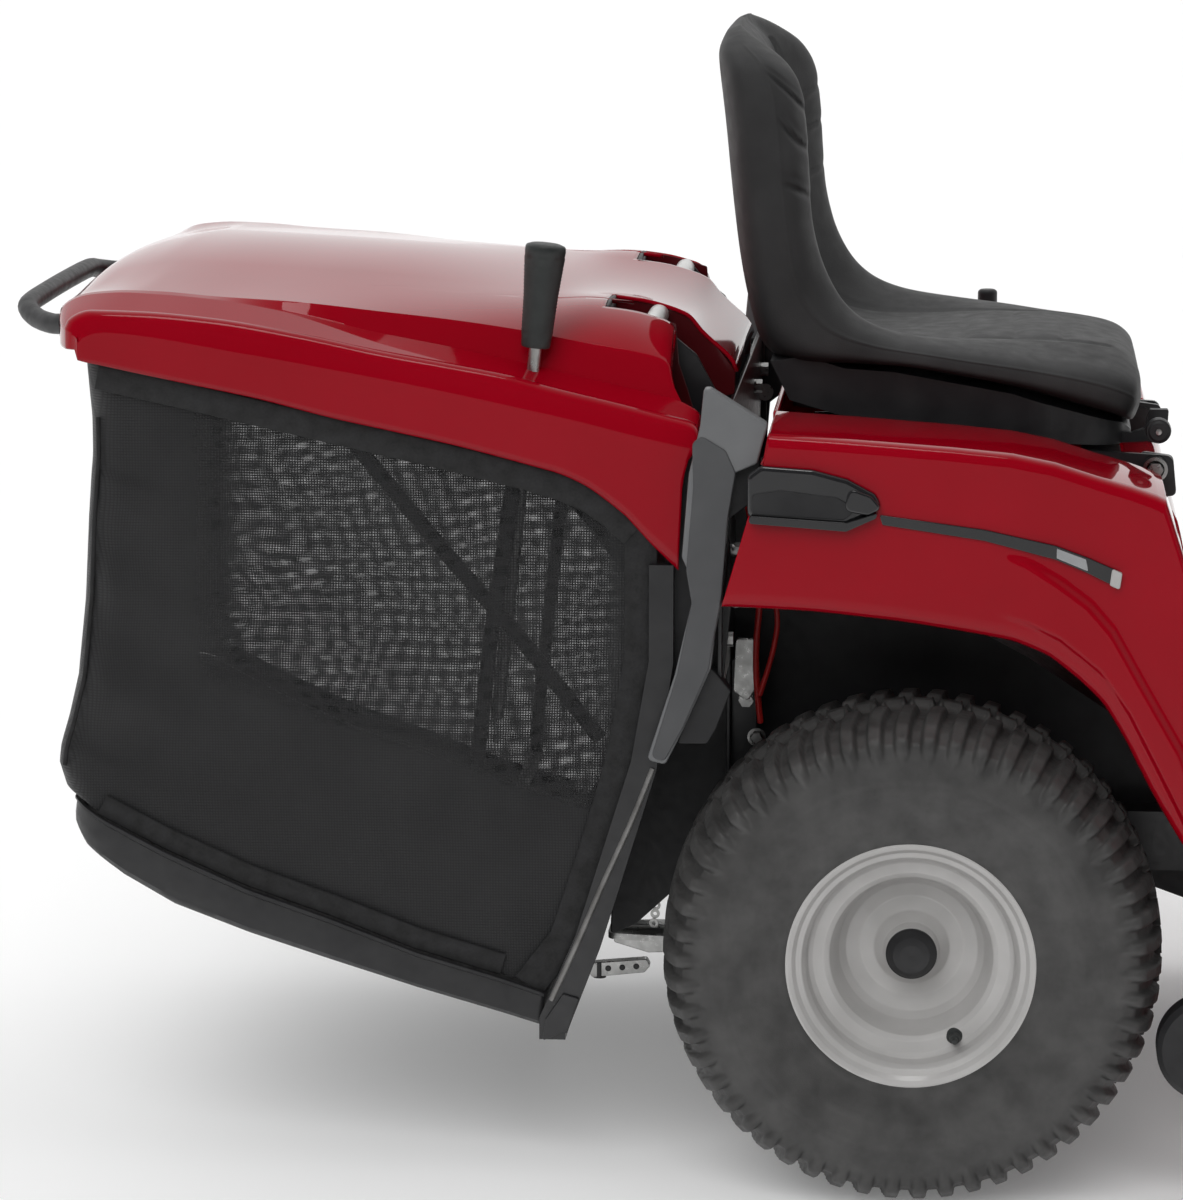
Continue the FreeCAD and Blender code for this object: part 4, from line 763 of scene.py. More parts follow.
pipe("hinge_tube_right", [(-247, -152, 775), (-247, -242, 775)], 9.4, "collector", "tube_pale_highlight", res=36, replaces=("collector_hinge_tube",), smooth_path=False)
pipe("hinge_tube_left", [(-247, 152, 775), (-247, 242, 775)], 9.4, "collector", "tube_pale_highlight", res=36, smooth_path=False)

for s in (-1, 1):
    bm = bmesh.new()
    P = [[W(x, s * y, z) for y in [151 + 88 * k / 8 for k in range(9)]] for x, z in resample([(-289, 742), (-262, 738), (-250, 728), (-246, 700)], 12)]
    grid(bm, P)
    o = finish_mesh("notch_tray_%s" % ("right" if s < 0 else "left"), bm, "collector", "black_plastic")
    mod_solid(o, 0.002, 0.0)

# rear handle
pipe("rear_grab_bar", [(-790, -250, 773), (-806, -234, 770.5), (-826, -205, 771.5), (-840, -178, 776), (-845, -150, 779.5), (-846, -60, 780.5), (-846, 60, 780.5), (-845, 150, 779.5), (-840, 178, 776), (-826, 205, 771.5), (-806, 234, 770.5), (-790, 250, 773)],
     9.6, "collector", "black_plastic", res=20, replaces=("collector_rear_handle",))
for s in (-1, 1):
    revolve("grab_bar_foot_%s" % ("right" if s < 0 else "left"), [(0.01, 3), (11, 3), (15, 1.5), (16, -3), (0.01, -3)], 0, 0, 0, 1, "collector", "black_plastic", n=32, closed=False)
    f = bpy.data.objects["grab_bar_foot_%s" % ("right" if s < 0 else "left")]
    # turned in place: the foot's axis lies along X on the rear wall
    T = Matrix.Translation(W(-791.5, s * 250, 772)) @ Matrix.Rotation(math.radians(-90 * 1), 4, "Z") @ Matrix.Translation(-W(0, 0, 0))
    f.data.transform(T)

# emptying lever: flared rubber grip over its steel rod
gd = Vector((11.1, 0, 106)).normalized()
ga = Vector((-347.7, -330, 752))
prof = [(0.0, 12.6), (0.02, 13.3), (0.5, 15.2), (0.86, 17.8), (0.93, 18.6), (0.975, 18.2), (0.99, 16.4), (1.0, 13.0)]
bm = bmesh.new()
rings = []
side_v = Vector((0, 1, 0))
fwd = gd.cross(side_v)
for k in range(61):
    t = k / 60
    r = float(np.interp(t, [p[0] for p in prof], [p[1] for p in prof]))
    r += 0.25 * math.cos(t * 60 * math.pi) * (0.15 < t < 0.8)
    c = ga + gd * (14 + 94 * t)
    ring = []
    for q in range(40):
        a = 2 * math.pi * q / 40
        rr = r * (1 + 0.035 * math.cos(4 * a) * (0.1 < t < 0.88))
        ring.append(W(*(c + side_v * math.cos(a) * rr + fwd * math.sin(a) * rr)))
    rings.append(ring)
V_ = grid(bm, rings, closed_v=True)
bm.faces.new(V_[0])
bm.faces.new(V_[-1][::-1])
grip = finish_mesh("lever_grip_rubber", bm, "tip_lever", "grip_rubber", replaces=("lever_grip",))
auto_smooth(grip, 55)

# ------------------------------------------------------------------ bag
B_BOT = [(-345, 181), (-374, 190), (-452, 212.5), (-529.5, 242), (-608, 269), (-685, 303), (-743, 333), (-771, 349)]
B_TOP = [(-243, 610), (-255, 622), (-275, 640), (-298, 655), (-321, 664), (-344, 671), (-413, 688), (-526, 713), (-665, 744), (-740, 760), (-757, 764)]
B_FRONT = [(-345, 181), (-311, 226), (-285, 306), (-260, 392), (-243, 487), (-243, 610)]
B_REAR = [(-771, 349), (-783, 358), (-789, 378), (-787, 394), (-779, 421), (-769, 461), (-761, 533), (-757, 608), (-752, 666), (-752, 701), (-757, 764)]


def coons(u, v, B, T, F, R):
    n = 400
    b, t, f, r = B[int(round(u * n))], T[int(round(u * n))], F[int(round(v * n))], R[int(round(v * n))]
    p = []
    for k in (0, 1):
        p.append((1 - v) * b[k] + v * t[k] + (1 - u) * f[k] + u * r[k]
                 - ((1 - u) * (1 - v) * B[0][k] + u * (1 - v) * B[n][k] + (1 - u) * v * T[0][k] + u * v * T[n][k]))
    return p


BB, BT, BF, BR = (resample(t, 401) for t in (B_BOT, B_TOP, B_FRONT, B_REAR))
bag_half, bag_rc = 364.0, 34.0
nv, na, nr_ = 84, 120, 70


def fold(x, z, k):
    """Slack of the cloth, in mm, inwards positive."""
    a = 3.0 * noise.noise(Vector((x * 0.006, z * 0.006, 3.1 * k)))
    a += 1.6 * noise.noise(Vector((x * 0.018, z * 0.011, 7.7 * k)))
    a += 0.8 * noise.noise(Vector((x * 0.05, z * 0.02, 1.7 * k)))
    return a


bm = bmesh.new()
P = []
for j in range(nv + 1):
    v = j / nv
    row = []
    right, left = [], []
    xr, zr = coons(1.0, v, BB, BT, BF, BR)
    for i in range(na + 1):
        u = i / na
        u = 1 - (1 - u) ** 1.35
        x, z = coons(u, v, BB, BT, BF, BR)
        d = x - xr
        y = bag_half
        if d < bag_rc:
            y -= bag_rc - math.sqrt(max(0.0, bag_rc**2 - (bag_rc - d) ** 2))
        # the panel hangs in between its edges, tighter at the top and the mouth
        slack = 9.0 * math.sin(math.pi * min(1, max(0, u))) ** 0.8 * math.sin(math.pi * v) ** 0.9
        edge = min(1.0, 6 * u * (1.02 - v) * 1.0) if u < 0.5 else 1.0
        w = math.sin(math.pi * v) ** 0.5 * min(1.0, u * 8)
        tug = 4.5 * math.exp(-((u - 0.93) / 0.06) ** 2) * math.sin(9.0 * v * math.pi) * (v > 0.15) * (v < 0.75)
        pull = 2.2 * math.sin((x * 0.6 + z) * 0.055) * math.exp(-(((x + 700) / 60) ** 2 + ((z - 430) / 90) ** 2))
        for lst, k in ((right, 1), (left, 2)):
            yy = y - slack * 0.75 + fold(x, z, k) * w * 1.25 + tug * 0.5 + pull
            yy = min(yy, 366.0)
            lst.append((x, yy, z))
    for x, y, z in right:
        row.append(W(x, -y, z))
    yend = bag_half - bag_rc
    for i in range(1, nr_):
        t = i / nr_
        y = -yend + 2 * yend * t
        # the back bellies out and sags low down
        belly = 7.0 * math.sin(math.pi * t) ** 0.6 * math.sin(math.pi * min(1, v * 1.1)) ** 0.7
        wv = math.sin(math.pi * v) ** 0.5
        dz = -3.0 * math.sin(math.pi * t) * math.sin(math.pi * v)
        x = xr - belly * 0.9 + 2.2 * noise.noise(Vector((y * 0.008, zr * 0.008, 5.5))) * wv + 1.2 * noise.noise(Vector((y * 0.03, zr * 0.012, 9.5))) * wv
        row.append(W(max(x, -799), y, zr + dz))
    for x, y, z in left[::-1]:
        row.append(W(x, y, z))
    P.append(row)
grid(bm, P)
bag = finish_mesh("grass_bag_cloth", bm, "collector", "mesh_fabric", replaces=("grass_bag",))


def strip(name, pts, width_dir, w, t, body, material):
    """Flat webbing along pts (W mm): width along width_dir per point, thickness t."""
    bm = bmesh.new()
    P = []
    n = len(pts)
    for i, p in enumerate(pts):
        p = Vector(p)
        tan = (Vector(pts[min(i + 1, n - 1)]) - Vector(pts[max(i - 1, 0)])).normalized()
        wd = Vector(width_dir)
        wd = (wd - tan * wd.dot(tan)).normalized()
        nn = tan.cross(wd).normalized()
        P.append([W(*(p + wd * (w / 2) + nn * t * 0.3)), W(*(p + wd * (w / 2 - 1) + nn * t)), W(*(p - wd * (w / 2 - 1) + nn * t)), W(*(p - wd * (w / 2) + nn * t * 0.3)),
                  W(*(p - wd * (w / 2) - nn * t * 0.3)), W(*(p - wd * (w / 2 - 1) - nn * t)), W(*(p + wd * (w / 2 - 1) - nn * t)), W(*(p + wd * (w / 2) - nn * t * 0.3))])
    V_ = grid(bm, P, closed_v=True)
    bm.faces.new(V_[0])
    bm.faces.new(V_[-1][::-1])
    o = finish_mesh(name, bm, body, material)
    auto_smooth(o, 60)
    return o


for s in (-1, 1):
    tag = "right" if s < 0 else "left"
    # bound edges: under the cover, down the rear corner, along the tray and beside the mouth
    strip("hem_top_" + tag, [(x, s * 368.5, z - 20) for x, z in resample(B_TOP[1:-1], 40)], (0.2, 0, 1), 24, 1.1, "collector", "hem_web")
    strip("hem_front_" + tag, [(x - 5, s * 367.5, z) for x, z in resample(B_FRONT, 50)], (1, 0, -0.3), 30, 1.2, "collector", "hem_web")
    strip("hem_low_" + tag, [(x, s * 366.8, z + 10) for x, z in resample(B_BOT[1:-1], 40)], (0.4, 0, 1), 20, 1.1, "collector", "hem_web")
    seam = [(x + 10, s * (bag_half - 6.0), z) for x, z in resample(B_REAR[2:-1], 50)]
    pipe("seam_rear_" + tag, seam, 2.2, "collector", "hem_web", res=8)

# tray: deep lip and sloping sides
T_TOP = [(-335, 176), (-374, 189), (-452, 211.5), (-529.5, 241), (-608, 268), (-685, 302), (-743, 332), (-772, 347.5)]
T_BOT = [(-339, 139), (-376, 150), (-454, 172), (-532, 196), (-610.5, 221), (-680, 247), (-727, 274), (-762, 300), (-777, 322)]
bm = bmesh.new()
nT = 90
top_l, bot_l = resample(T_TOP, nT), resample(T_BOT, nT)
rc = 40.0
P = []
rows = [(0.0, 371.5, 0), (0.03, 373.5, 1), (0.10, 373.5, 1), (0.14, 370.5, 0), (0.5, 369.5, 0), (0.8, 366.5, 0), (0.92, 360.5, 0), (1.0, 350, 0)]
for v, yh, _ in rows:
    xr = top_l[-1][0] * (1 - v) + bot_l[-1][0] * v - (2 if 0.02 < v < 0.11 else 0)
    zrr = top_l[-1][1] * (1 - v) + bot_l[-1][1] * v
    right, left = [], []
    for i in range(nT):
        x = top_l[i][0] * (1 - v) + bot_l[i][0] * v
        z = top_l[i][1] * (1 - v) + bot_l[i][1] * v
        d = x - xr
        y = yh
        if d < rc:
            y -= rc - math.sqrt(max(0.0, rc * rc - (rc - d) ** 2))
        right.append(W(x, -y, z))
        left.append(W(x, y, z))
    ye = yh - rc
    mid = [W(xr - 5 * math.sin(math.pi * k / 30), -ye + 2 * ye * k / 30, zrr - 2 * math.sin(math.pi * k / 30)) for k in range(1, 30)]
    P.append(right + mid + left[::-1])
V_ = grid(bm, P)
last = V_[-1]
m_ = len(last)
for i in range(m_ // 2 - 1):
    quad = (last[i], last[i + 1], last[m_ - 2 - i], last[m_ - 1 - i])
    if len(set(quad)) == 4:
        bm.faces.new(quad)
tray = finish_mesh("collector_tray_moulding", bm, "collector", "black_plastic", replaces=("collector_tray",))
auto_smooth(tray, 35)
mod_solid(tray, 0.0035, 1.0 if False else -1.0)

# mouth frame keeps its CAD band, with a rolled bright edge along the front of each side
soften("collector_mouth_frame", 0.0015)
for s in (-1, 1):
    tag = "right" if s < 0 else "left"
    pipe("mouth_edge_" + tag, [(-329, s * 373.5, 169), (-306, s * 373.8, 221), (-282, s * 373.8, 278), (-256, s * 373.8, 337), (-236, s * 373.5, 388)], 2.7, "collector", "edge_steel", res=12)
    prism("mouth_toe_" + tag, [(-337, 131), (-314, 141.5), (-303, 172), (-318, 176), (-334, 152)], s * 368, s * 377, "collector", "black_steel", r=2, bevel=1)
soften("collector_frame", 0.0)

# --------------------------------------------------------- rear bulkhead
def bulkhead():
    bm = bmesh.new()
    ys = [-378.5, -340, -300, -260, -225, -185, -146, -80, 0, 80, 146, 185, 225, 260, 300, 340, 378.5]
    zs = [262, 300, 344, 400, 460, 520, 592, 650, 700]
    V_ = [[bm.verts.new(W(-176, y, z)) for y in ys] for z in zs]
    for i in range(len(zs) - 1):
        for j in range(len(ys) - 1):
            zc, yc = (zs[i] + zs[i + 1]) / 2, (ys[j] + ys[j + 1]) / 2
            if (zc < 460 and abs(yc) > 225) or (344 < zc < 592 and abs(yc) < 146):
                continue
            bm.faces.new((V_[i][j], V_[i][j + 1], V_[i + 1][j + 1], V_[i + 1][j]))
    bmesh.ops.delete(bm, geom=[v for v in bm.verts if not v.link_faces], context="VERTS")
    o = finish_mesh("bulkhead", bm, "chassis", "black_steel", replaces=("rear_plate",), smooth=False)
    mod_solid(o, 0.004, 0.0)
    mod_bevel(o, 0.001, 2)


bulkhead()
for s in (-1, 1):
    tag = "right" if s < 0 else "left"
    prism("tip_arm_" + tag, [(-182, 612), (-178, 696), (-206, 748), (-228, 766), (-238, 778), (-247, 782), (-255, 779), (-257, 772), (-252, 764), (-240, 758), (-222, 736), (-198, 640)], s * 230.5, s * 237.5, "chassis", "black_steel", r=5, bevel=1.2)
    prism("bulkhead_web_" + tag, [(-174, 262), (-174, 458), (-152, 458), (-150, 440), (-150, 280), (-160, 262)], s * 205, s * 209, "chassis", "black_steel", r=3, bevel=0.8)
    # the chute's mouth reaches back into the collector
    prism("chute_cheek_" + tag, [(-172, 346), (-172, 590), (-205, 560), (-240, 470), (-262, 400), (-289, 300), (-293, 172), (-268, 184), (-236, 214), (-200, 262)], s * 139, s * 144, "chassis", "black_plastic", r=4, bevel=1.5)
    prism("lower_gusset_" + tag, [(-220, 690), (-172, 690), (-166, 545), (-176, 440), (-214, 420), (-232, 470)], s * 352, s * 358, "chassis", "black_plastic", r=6, bevel=1.2)
bm = bmesh.new()
P = [[W(x, y, z) for y in [-139 + 278 * k / 16 for k in range(17)]] for x, z in resample([(-172, 344), (-200, 264), (-236, 217), (-268, 187), (-291, 176)], 20)]
grid(bm, P)
o = finish_mesh("chute_floor", bm, "chassis", "black_plastic")
mod_solid(o, 0.003, 0.0)

# ------------------------------------------------------------ rear trims
BEZ = [(-190, 738.5), (-184, 738.5), (-133, 707), (-142, 672), (-163, 663), (-168, 622), (-173.5, 547), (-179.5, 515), (-182.5, 486), (-206, 432), (-223, 397), (-240, 401), (-215, 479.5), (-200, 546), (-202, 571), (-209, 587), (-203, 662), (-193, 706)]
for s in (-1, 1):
    tag = "right" if s < 0 else "left"
    prism("bezel_" + tag, BEZ, s * 379.3, s * 399, "chassis", "charcoal_plastic", r=5, bevel=4.5, seg=4, replaces=("rear_bezel",) if s < 0 else ())
    # painted shade: the recess is a thin plate on the bezel's face, darkened for the shade of a hollow
    prism("bezel_recess_" + tag, [(-205, 575), (-199, 650), (-200, 690), (-192, 697), (-170, 684), (-161, 664), (-168, 622), (-173, 552), (-180, 515), (-184, 486), (-207, 432), (-224, 400), (-236, 404), (-213, 480), (-200, 546)], s * 398, s * 400.4, "chassis", "charcoal_shaded_recess", r=8, bevel=1.6)
    prism("bezel_inner_" + tag, [(-180, 700), (-140, 690), (-140, 640), (-166, 620), (-172, 545), (-180, 545)], s * 368, s * 381, "chassis", "black_plastic", r=3, bevel=1.5)
    prism("bezel_bracket_" + tag, [(-184, 486), (-165, 463), (-178, 428), (-186, 414), (-214, 414), (-206, 436)], s * 366, s * 386, "chassis", "black_plastic", r=3, bevel=2)

# ------------------------------------------------------------ rear fender
ARCH = [(-173, 543), (-91, 540), (-11, 532), (48, 523), (88, 516), (118.5, 504), (143, 485), (168, 461), (187, 430), (213, 379.5), (241, 333)]
FTOP = [(-135, 676), (-131, 699), (-62, 695), (30, 688.5), (100, 682), (122, 676), (190, 655.5), (220, 644), (235.5, 597), (262, 480), (288, 326)]
PAIR = [((-173, 543), (-135, 676)), ((-150, 542.5), (-131, 699)), ((-91, 540), (-62, 695)), ((-11, 532), (30, 688.5)), ((48, 523), (84, 683.5)), ((88, 516), (122, 676)), ((118.5, 504), (160, 664)), ((143, 485), (190, 655.5)),
        ((158, 471), (212, 648)), ((163, 466), (220, 644)), ((170, 458), (224, 632)), ((187, 430), (235.5, 597)), ((200, 404), (249, 538)), ((213, 379.5), (262, 480)), ((228, 354), (276, 398)), ((241, 333), (288, 326))]
L1 = [(60, 600), (100, 588), (127, 572), (154, 552), (175, 528), (207, 472), (239, 417), (262, 340)]
L2 = [(60, 545), (100, 533), (128, 520), (164, 491), (191, 453), (216, 405), (240, 358), (252, 330)]


def seg_dist(px, pz, line):
    """Signed distance to a polyline, positive above it."""
    best = 1e9
    sg = 1
    for (ax, az), (bx, bz) in zip(line, line[1:]):
        dx, dz = bx - ax, bz - az
        t = max(0, min(1, ((px - ax) * dx + (pz - az) * dz) / (dx * dx + dz * dz)))
        qx, qz = ax + dx * t, az + dz * t
        d = math.hypot(px - qx, pz - qz)
        if d < best:
            best = d
            sg = 1 if (dx * (pz - az) - dz * (px - ax)) > 0 else -1
    return best * sg


def fender_side(s):
    bm = bmesh.new()
    lo, hi = [], []
    for k in range(len(PAIR) - 1):
        n = 10
        for q in range(n):
            t = q / n
            lo.append(tuple((1 - t) * PAIR[k][0][c] + t * PAIR[k + 1][0][c] for c in (0, 1)))
            hi.append(tuple((1 - t) * PAIR[k][1][c] + t * PAIR[k + 1][1][c] for c in (0, 1)))
    lo.append(PAIR[-1][0])
    hi.append(PAIR[-1][1])
    # light smoothing of the arch
    for _ in range(6):
        lo = [lo[0]] + [tuple((lo[i - 1][c] + 2 * lo[i][c] + lo[i + 1][c]) / 4 for c in (0, 1)) for i in range(1, len(lo) - 1)] + [lo[-1]]
    vs = [0.0, 0.012, 0.03, 0.06, 0.10] + [0.10 + 0.84 * k / 90 for k in range(1, 91)] + [0.96, 0.98, 0.992, 1.0]
    P = []
    for a, b in zip(lo, hi):
        row = []
        # arch lip turned inwards first
        row.append(W(a[0], s * 372, a[1] + 1.0))
        row.append(W(a[0], s * 398, a[1]))
        L = math.dist(a, b)
        for v in vs:
            x, z = a[0] + (b[0] - a[0]) * v, a[1] + (b[1] - a[1]) * v
            y = 409.6
            k1 = sstep(70, 128, x)
            d1, d2 = seg_dist(x, z, L1), seg_dist(x, z, L2)
            y += k1 * 7.0 * (1 - sstep(-5, 4.5, d1)) - k1 * 3.6 * (1 - sstep(-3, 3, d2))
            # rounded at the arch's edge and along the top
            e = v * L
            if e < 9:
                y -= 9 - math.sqrt(max(0, 81 - (9 - e) ** 2))
            f = (1 - v) * L
            if f < 10:
                y -= 10 - math.sqrt(max(0, 100 - (10 - f) ** 2))
            y += 1.2 * math.sin(math.pi * v) * (1 - k1)
            row.append(W(x, s * y, z))
        # top skin to the seat recess
        for yy in (392, 380, 350, 300, 258, 252):
            if b[0] < 232 and b[1] > 612:
                row.append(W(b[0], s * yy, b[1] + 2.0 * math.sin(math.pi * (400 - yy) / 148)))
            else:
                row.append(W(b[0], s * yy, b[1]))
        zz = max(612.0, min(b[1], 612.0)) if b[1] > 612 else b[1]
        row.append(W(b[0], s * 250, b[1] - 3 if b[1] > 615 else b[1]))
        row.append(W(b[0], s * 249.5, 613.0 if b[1] > 613 else b[1]))
        P.append(row)
    grid(bm, P)
    o = finish_mesh("fender_%s" % ("right" if s < 0 else "left"), bm, "chassis", "red_gloss", replaces=("rear_fender",) if s < 0 else ())
    auto_smooth(o, 48)
    mod_solid(o, 0.0035)
    return o


for s in (-1, 1):
    fender_side(s)
# middle: floor of the seat recess, the front apron and the rear wall
bm = bmesh.new()
path = [(-133, 697), (-131, 640), (-128, 618), (-122, 612.5), (-60, 612), (60, 612), (160, 612), (222, 612), (230, 608), (235.5, 597), (248, 540), (262, 480), (275, 402), (288, 327)]
P = [[W(x, y, z) for y in [-250 + 500 * k / 24 for k in range(25)]] for x, z in resample(path, 80)]
grid(bm, P)
o = finish_mesh("fender_middle", bm, "chassis", "red_gloss")
auto_smooth(o, 40)
mod_solid(o, 0.004, 0.0)
bm = bmesh.new()
path = [(-171, 548), (-168, 590), (-163, 628), (-150, 652), (-135, 676), (-133, 688), (-131, 698.5)]
P = [[W(x, y, z) for y in [-405 + 810 * k / 40 for k in range(41)]] for x, z in resample(path, 24) if z > 668]
grid(bm, P)
o = finish_mesh("fender_rear_edge", bm, "chassis", "red_gloss")
mod_solid(o, 0.003, 0.0)
# seat lugs
for s in (-1, 1):
    tag = "right" if s < 0 else "left"
    prism("seat_lug_" + tag, [(196, 612), (238, 612), (234, 650), (204, 654)], s * 166, s * 174, "chassis", "black_steel", r=6, bevel=1)
    # air vents: glossy housing with a dark grille behind its opening
    prism("vent_housing_" + tag, [(-150, 626), (-150, 664), (-138, 673), (-92, 670), (-61, 662), (-36.5, 649), (-30, 637), (-62, 621)], s * 409, s * 419, "chassis", "black_gloss", r=8, bevel=4, seg=4,
          replaces=("fender_vents",) if s < 0 else ())
    prism("vent_mouth_" + tag, [(-146, 630), (-146, 648), (-120, 652), (-70, 646), (-52, 636), (-64, 626)], s * 418.2, s * 420.2, "chassis", "black_plastic", r=5, bevel=0.8)
    prism("vent_brow_" + tag, [(-64, 634), (-60, 655), (-40, 648), (-30, 637), (-42, 630)], s * 414, s * 421.5, "chassis", "black_gloss", r=7, bevel=3, seg=4)
    prism("vent_lip_" + tag, [(-148, 622), (-148, 629), (-62, 624), (-34, 633), (-36, 628), (-62, 616)], s * 409, s * 423, "chassis", "black_gloss", r=3, bevel=2, seg=3)
    INL = [(-33, 630), (60, 618), (123, 604.5), (152, 594), (180, 582), (178, 567.5), (150, 581), (123, 592), (60, 608), (-30, 621)]
    prism("inlay_" + tag, INL, s * 409, s * 413.4, "chassis", "black_gloss", r=1.5, bevel=1.2, replaces=("fender_inlays",) if s < 0 else ())
    prism("inlay_bright_" + tag, [(124, 602.6), (150, 593.2), (152, 582), (124, 593.4)], s * 412.6, s * 414.2, "chassis", "chrome_trim", r=1, bevel=0.5)
    prism("inlay_end_" + tag, [(173, 585), (182, 581), (180, 566), (171, 570)], s * 409, s * 415.5, "chassis", "grey_paint", r=2, bevel=1)

# ------------------------------------------------------------------- seat
S_OUT = [(196, 671), (187, 679), (150, 692), (84, 712), (30, 723), (-25, 731), (-71, 732), (-112, 730), (-140, 735), (-154, 750), (-163, 780), (-173, 828), (-181, 886), (-188, 958), (-194, 1006), (-195, 1020), (-190, 1033)]
S_CR = [(206, 700), (205, 722), (190, 735), (100.5, 750), (27, 759), (-15, 765.5), (-45, 777), (-66, 797), (-82, 828), (-89.5, 851), (-96, 885), (-98, 928.5), (-99.6, 957), (-104, 988), (-119, 1011), (-145, 1028), (-172, 1041)]
S_MID = [(205, 695), (204, 722), (184, 743), (114, 751), (54, 751), (0, 747), (-45, 746), (-88, 756), (-118, 788), (-130, 830), (-137, 880), (-141, 925), (-144, 960), (-148, 990), (-154, 1012), (-166, 1028), (-176, 1038)]
S_T = [0.0, 0.04, 0.09, 0.2, 0.3, 0.37, 0.42, 0.47, 0.53, 0.58, 0.65, 0.73, 0.79, 0.85, 0.91, 0.96, 1.0]


def curve_at(tab, t):
    return (smooth_table(list(zip(S_T, [p[0] for p in tab])), t), smooth_table(list(zip(S_T, [p[1] for p in tab])), t))


def smooth_curve(tab, n, passes):
    pts = [curve_at(tab, k / n) for k in range(n + 1)]
    for _ in range(passes):
        pts = [pts[0]] + [tuple((pts[i - 1][c] + 2 * pts[i][c] + pts[i + 1][c]) / 4 for c in (0, 1)) for i in range(1, n)] + [pts[-1]]
    return pts


NT = 240
SO, SC, SM = smooth_curve(S_OUT, NT, 30), smooth_curve(S_CR, NT, 14), smooth_curve(S_MID, NT, 30)
HW = [(0.0, 118), (0.02, 158), (0.05, 186), (0.10, 206), (0.17, 218), (0.28, 223), (0.45, 222), (0.55, 218), (0.65, 217), (0.75, 216), (0.83, 210), (0.90, 196), (0.95, 176), (0.98, 152), (1.0, 118)]
bm = bmesh.new()
P = []
NPHI = 208
for k in range(NT + 1):
    t = k / NT
    a = smooth_table(HW, t)
    O, C, Mi = np.array(SO[k]), np.array(SC[k]), np.array(SM[k])
    row = []
    for q in range(NPHI):
        ph = 2 * math.pi * q / NPHI
        c, s = math.cos(ph), math.sin(ph)
        yy = a * math.copysign(abs(c) ** 0.52, c)
        dp = math.copysign(abs(s) ** 0.62, s)
        w = abs(yy) / a
        bol = sstep(0.42, 0.86, w)
        I = Mi + (C - Mi) * bol
        mid = O + (I - O) * 0.42
        if s >= 0:
            p = mid + (I - mid) * dp
            # seams: along the bolster's foot, across the back and the seat, and down the middle
            gy = 0.0
            g = 2.6 * math.exp(-((w - 0.50) / 0.016) ** 2) * (0.10 < t < 0.93)
            if w < 0.49 and 0.12 < t < 0.92:
                for tt in (0.17, 0.245, 0.32, 0.60, 0.67, 0.74, 0.81):
                    g += 1.5 * math.exp(-((t - tt) / 0.0045) ** 2) * (1 - sstep(0.44, 0.49, w))
                g -= 1.8 * abs(math.sin(math.pi * (t - 0.17) / 0.075)) ** 0.5 * (1 - sstep(0.40, 0.49, w)) * (0.17 < t < 0.32 or 0.60 < t < 0.81)
            # gathers pulled across the backrest bolster
            for tt, ln in ((0.776, 0.9), (0.856, 1.0), (0.92, 0.9)):
                cc = tt - 0.135 * s
                f_ = sstep(0.10, 0.34, s) * (1 - sstep(0.955, 0.995, s)) * (w > 0.6)
                g += 1.2 * ln * math.exp(-((t - cc) / 0.0075) ** 2) * f_
                gy += 6.5 * ln * math.exp(-((t - cc) / 0.0062) ** 2) * f_
                gy -= 2.6 * ln * math.exp(-((t - cc - 0.014) / 0.010) ** 2) * f_
                g -= 0.5 * ln * math.exp(-((t - cc - 0.016) / 0.012) ** 2) * f_
            n_ = (I - O)
            n_ = n_ / (np.linalg.norm(n_) or 1)
            p = p - n_ * g * max(0.0, dp)
            yy -= math.copysign(gy, yy)
        else:
            p = mid + (O - mid) * (-dp)
        # welt along the side, where the top panel is sewn to the side panel
        side_welt = math.exp(-((ph % math.pi if s >= 0 else 9) - 0.16) ** 2 / 0.0006) + math.exp(-((math.pi - ph if s >= 0 else 9) - 0.16) ** 2 / 0.0006)
        yy += math.copysign(1.5 * min(1, side_welt) * (0.04 < t < 0.97), yy)
        lump = 1.2 * noise.noise(Vector((p[0] * 0.012, yy * 0.012, p[1] * 0.012)))
        row.append(W(p[0] + lump * 0.5, yy, p[1] + lump * 0.5))
    P.append(row)
V_ = grid(bm, P, closed_v=True)


def dome(ring, push):
    """Closes an end with a shallow dome of shrinking rings."""
    cen = Vector((0, 0, 0))
    for v in ring:
        cen += v.co
    cen /= len(ring)
    prev = ring
    for k, f in enumerate((0.88, 0.70, 0.45, 0.18)):
        cur = [bm.verts.new(cen + (v.co - cen) * f + Vector(push) * (1 - f * f) ** 0.7) for v in ring]
        for i in range(len(ring)):
            bm.faces.new((prev[i], prev[(i + 1) % len(ring)], cur[(i + 1) % len(ring)], cur[i]))
        prev = cur
    bm.faces.new(prev)


dome(V_[0], (0.005, 0, -0.001))
dome(V_[-1], (0.001, 0, 0.006))
seat = finish_mesh("seat_upholstery", bm, "seat", "vinyl", replaces=("seat_cushion",))

# points round the top of the backrest; nothing is built from them
pts = []
for q in range(0, 41):
    y = -150 + 300 * q / 40
    pts.append((-150 + 0.0006 * y * y * 0.6, y, 1032.5 - 0.00022 * y * y))
soften("seat_pan", 0.0015)
soften("seat_bracket", 0.001)
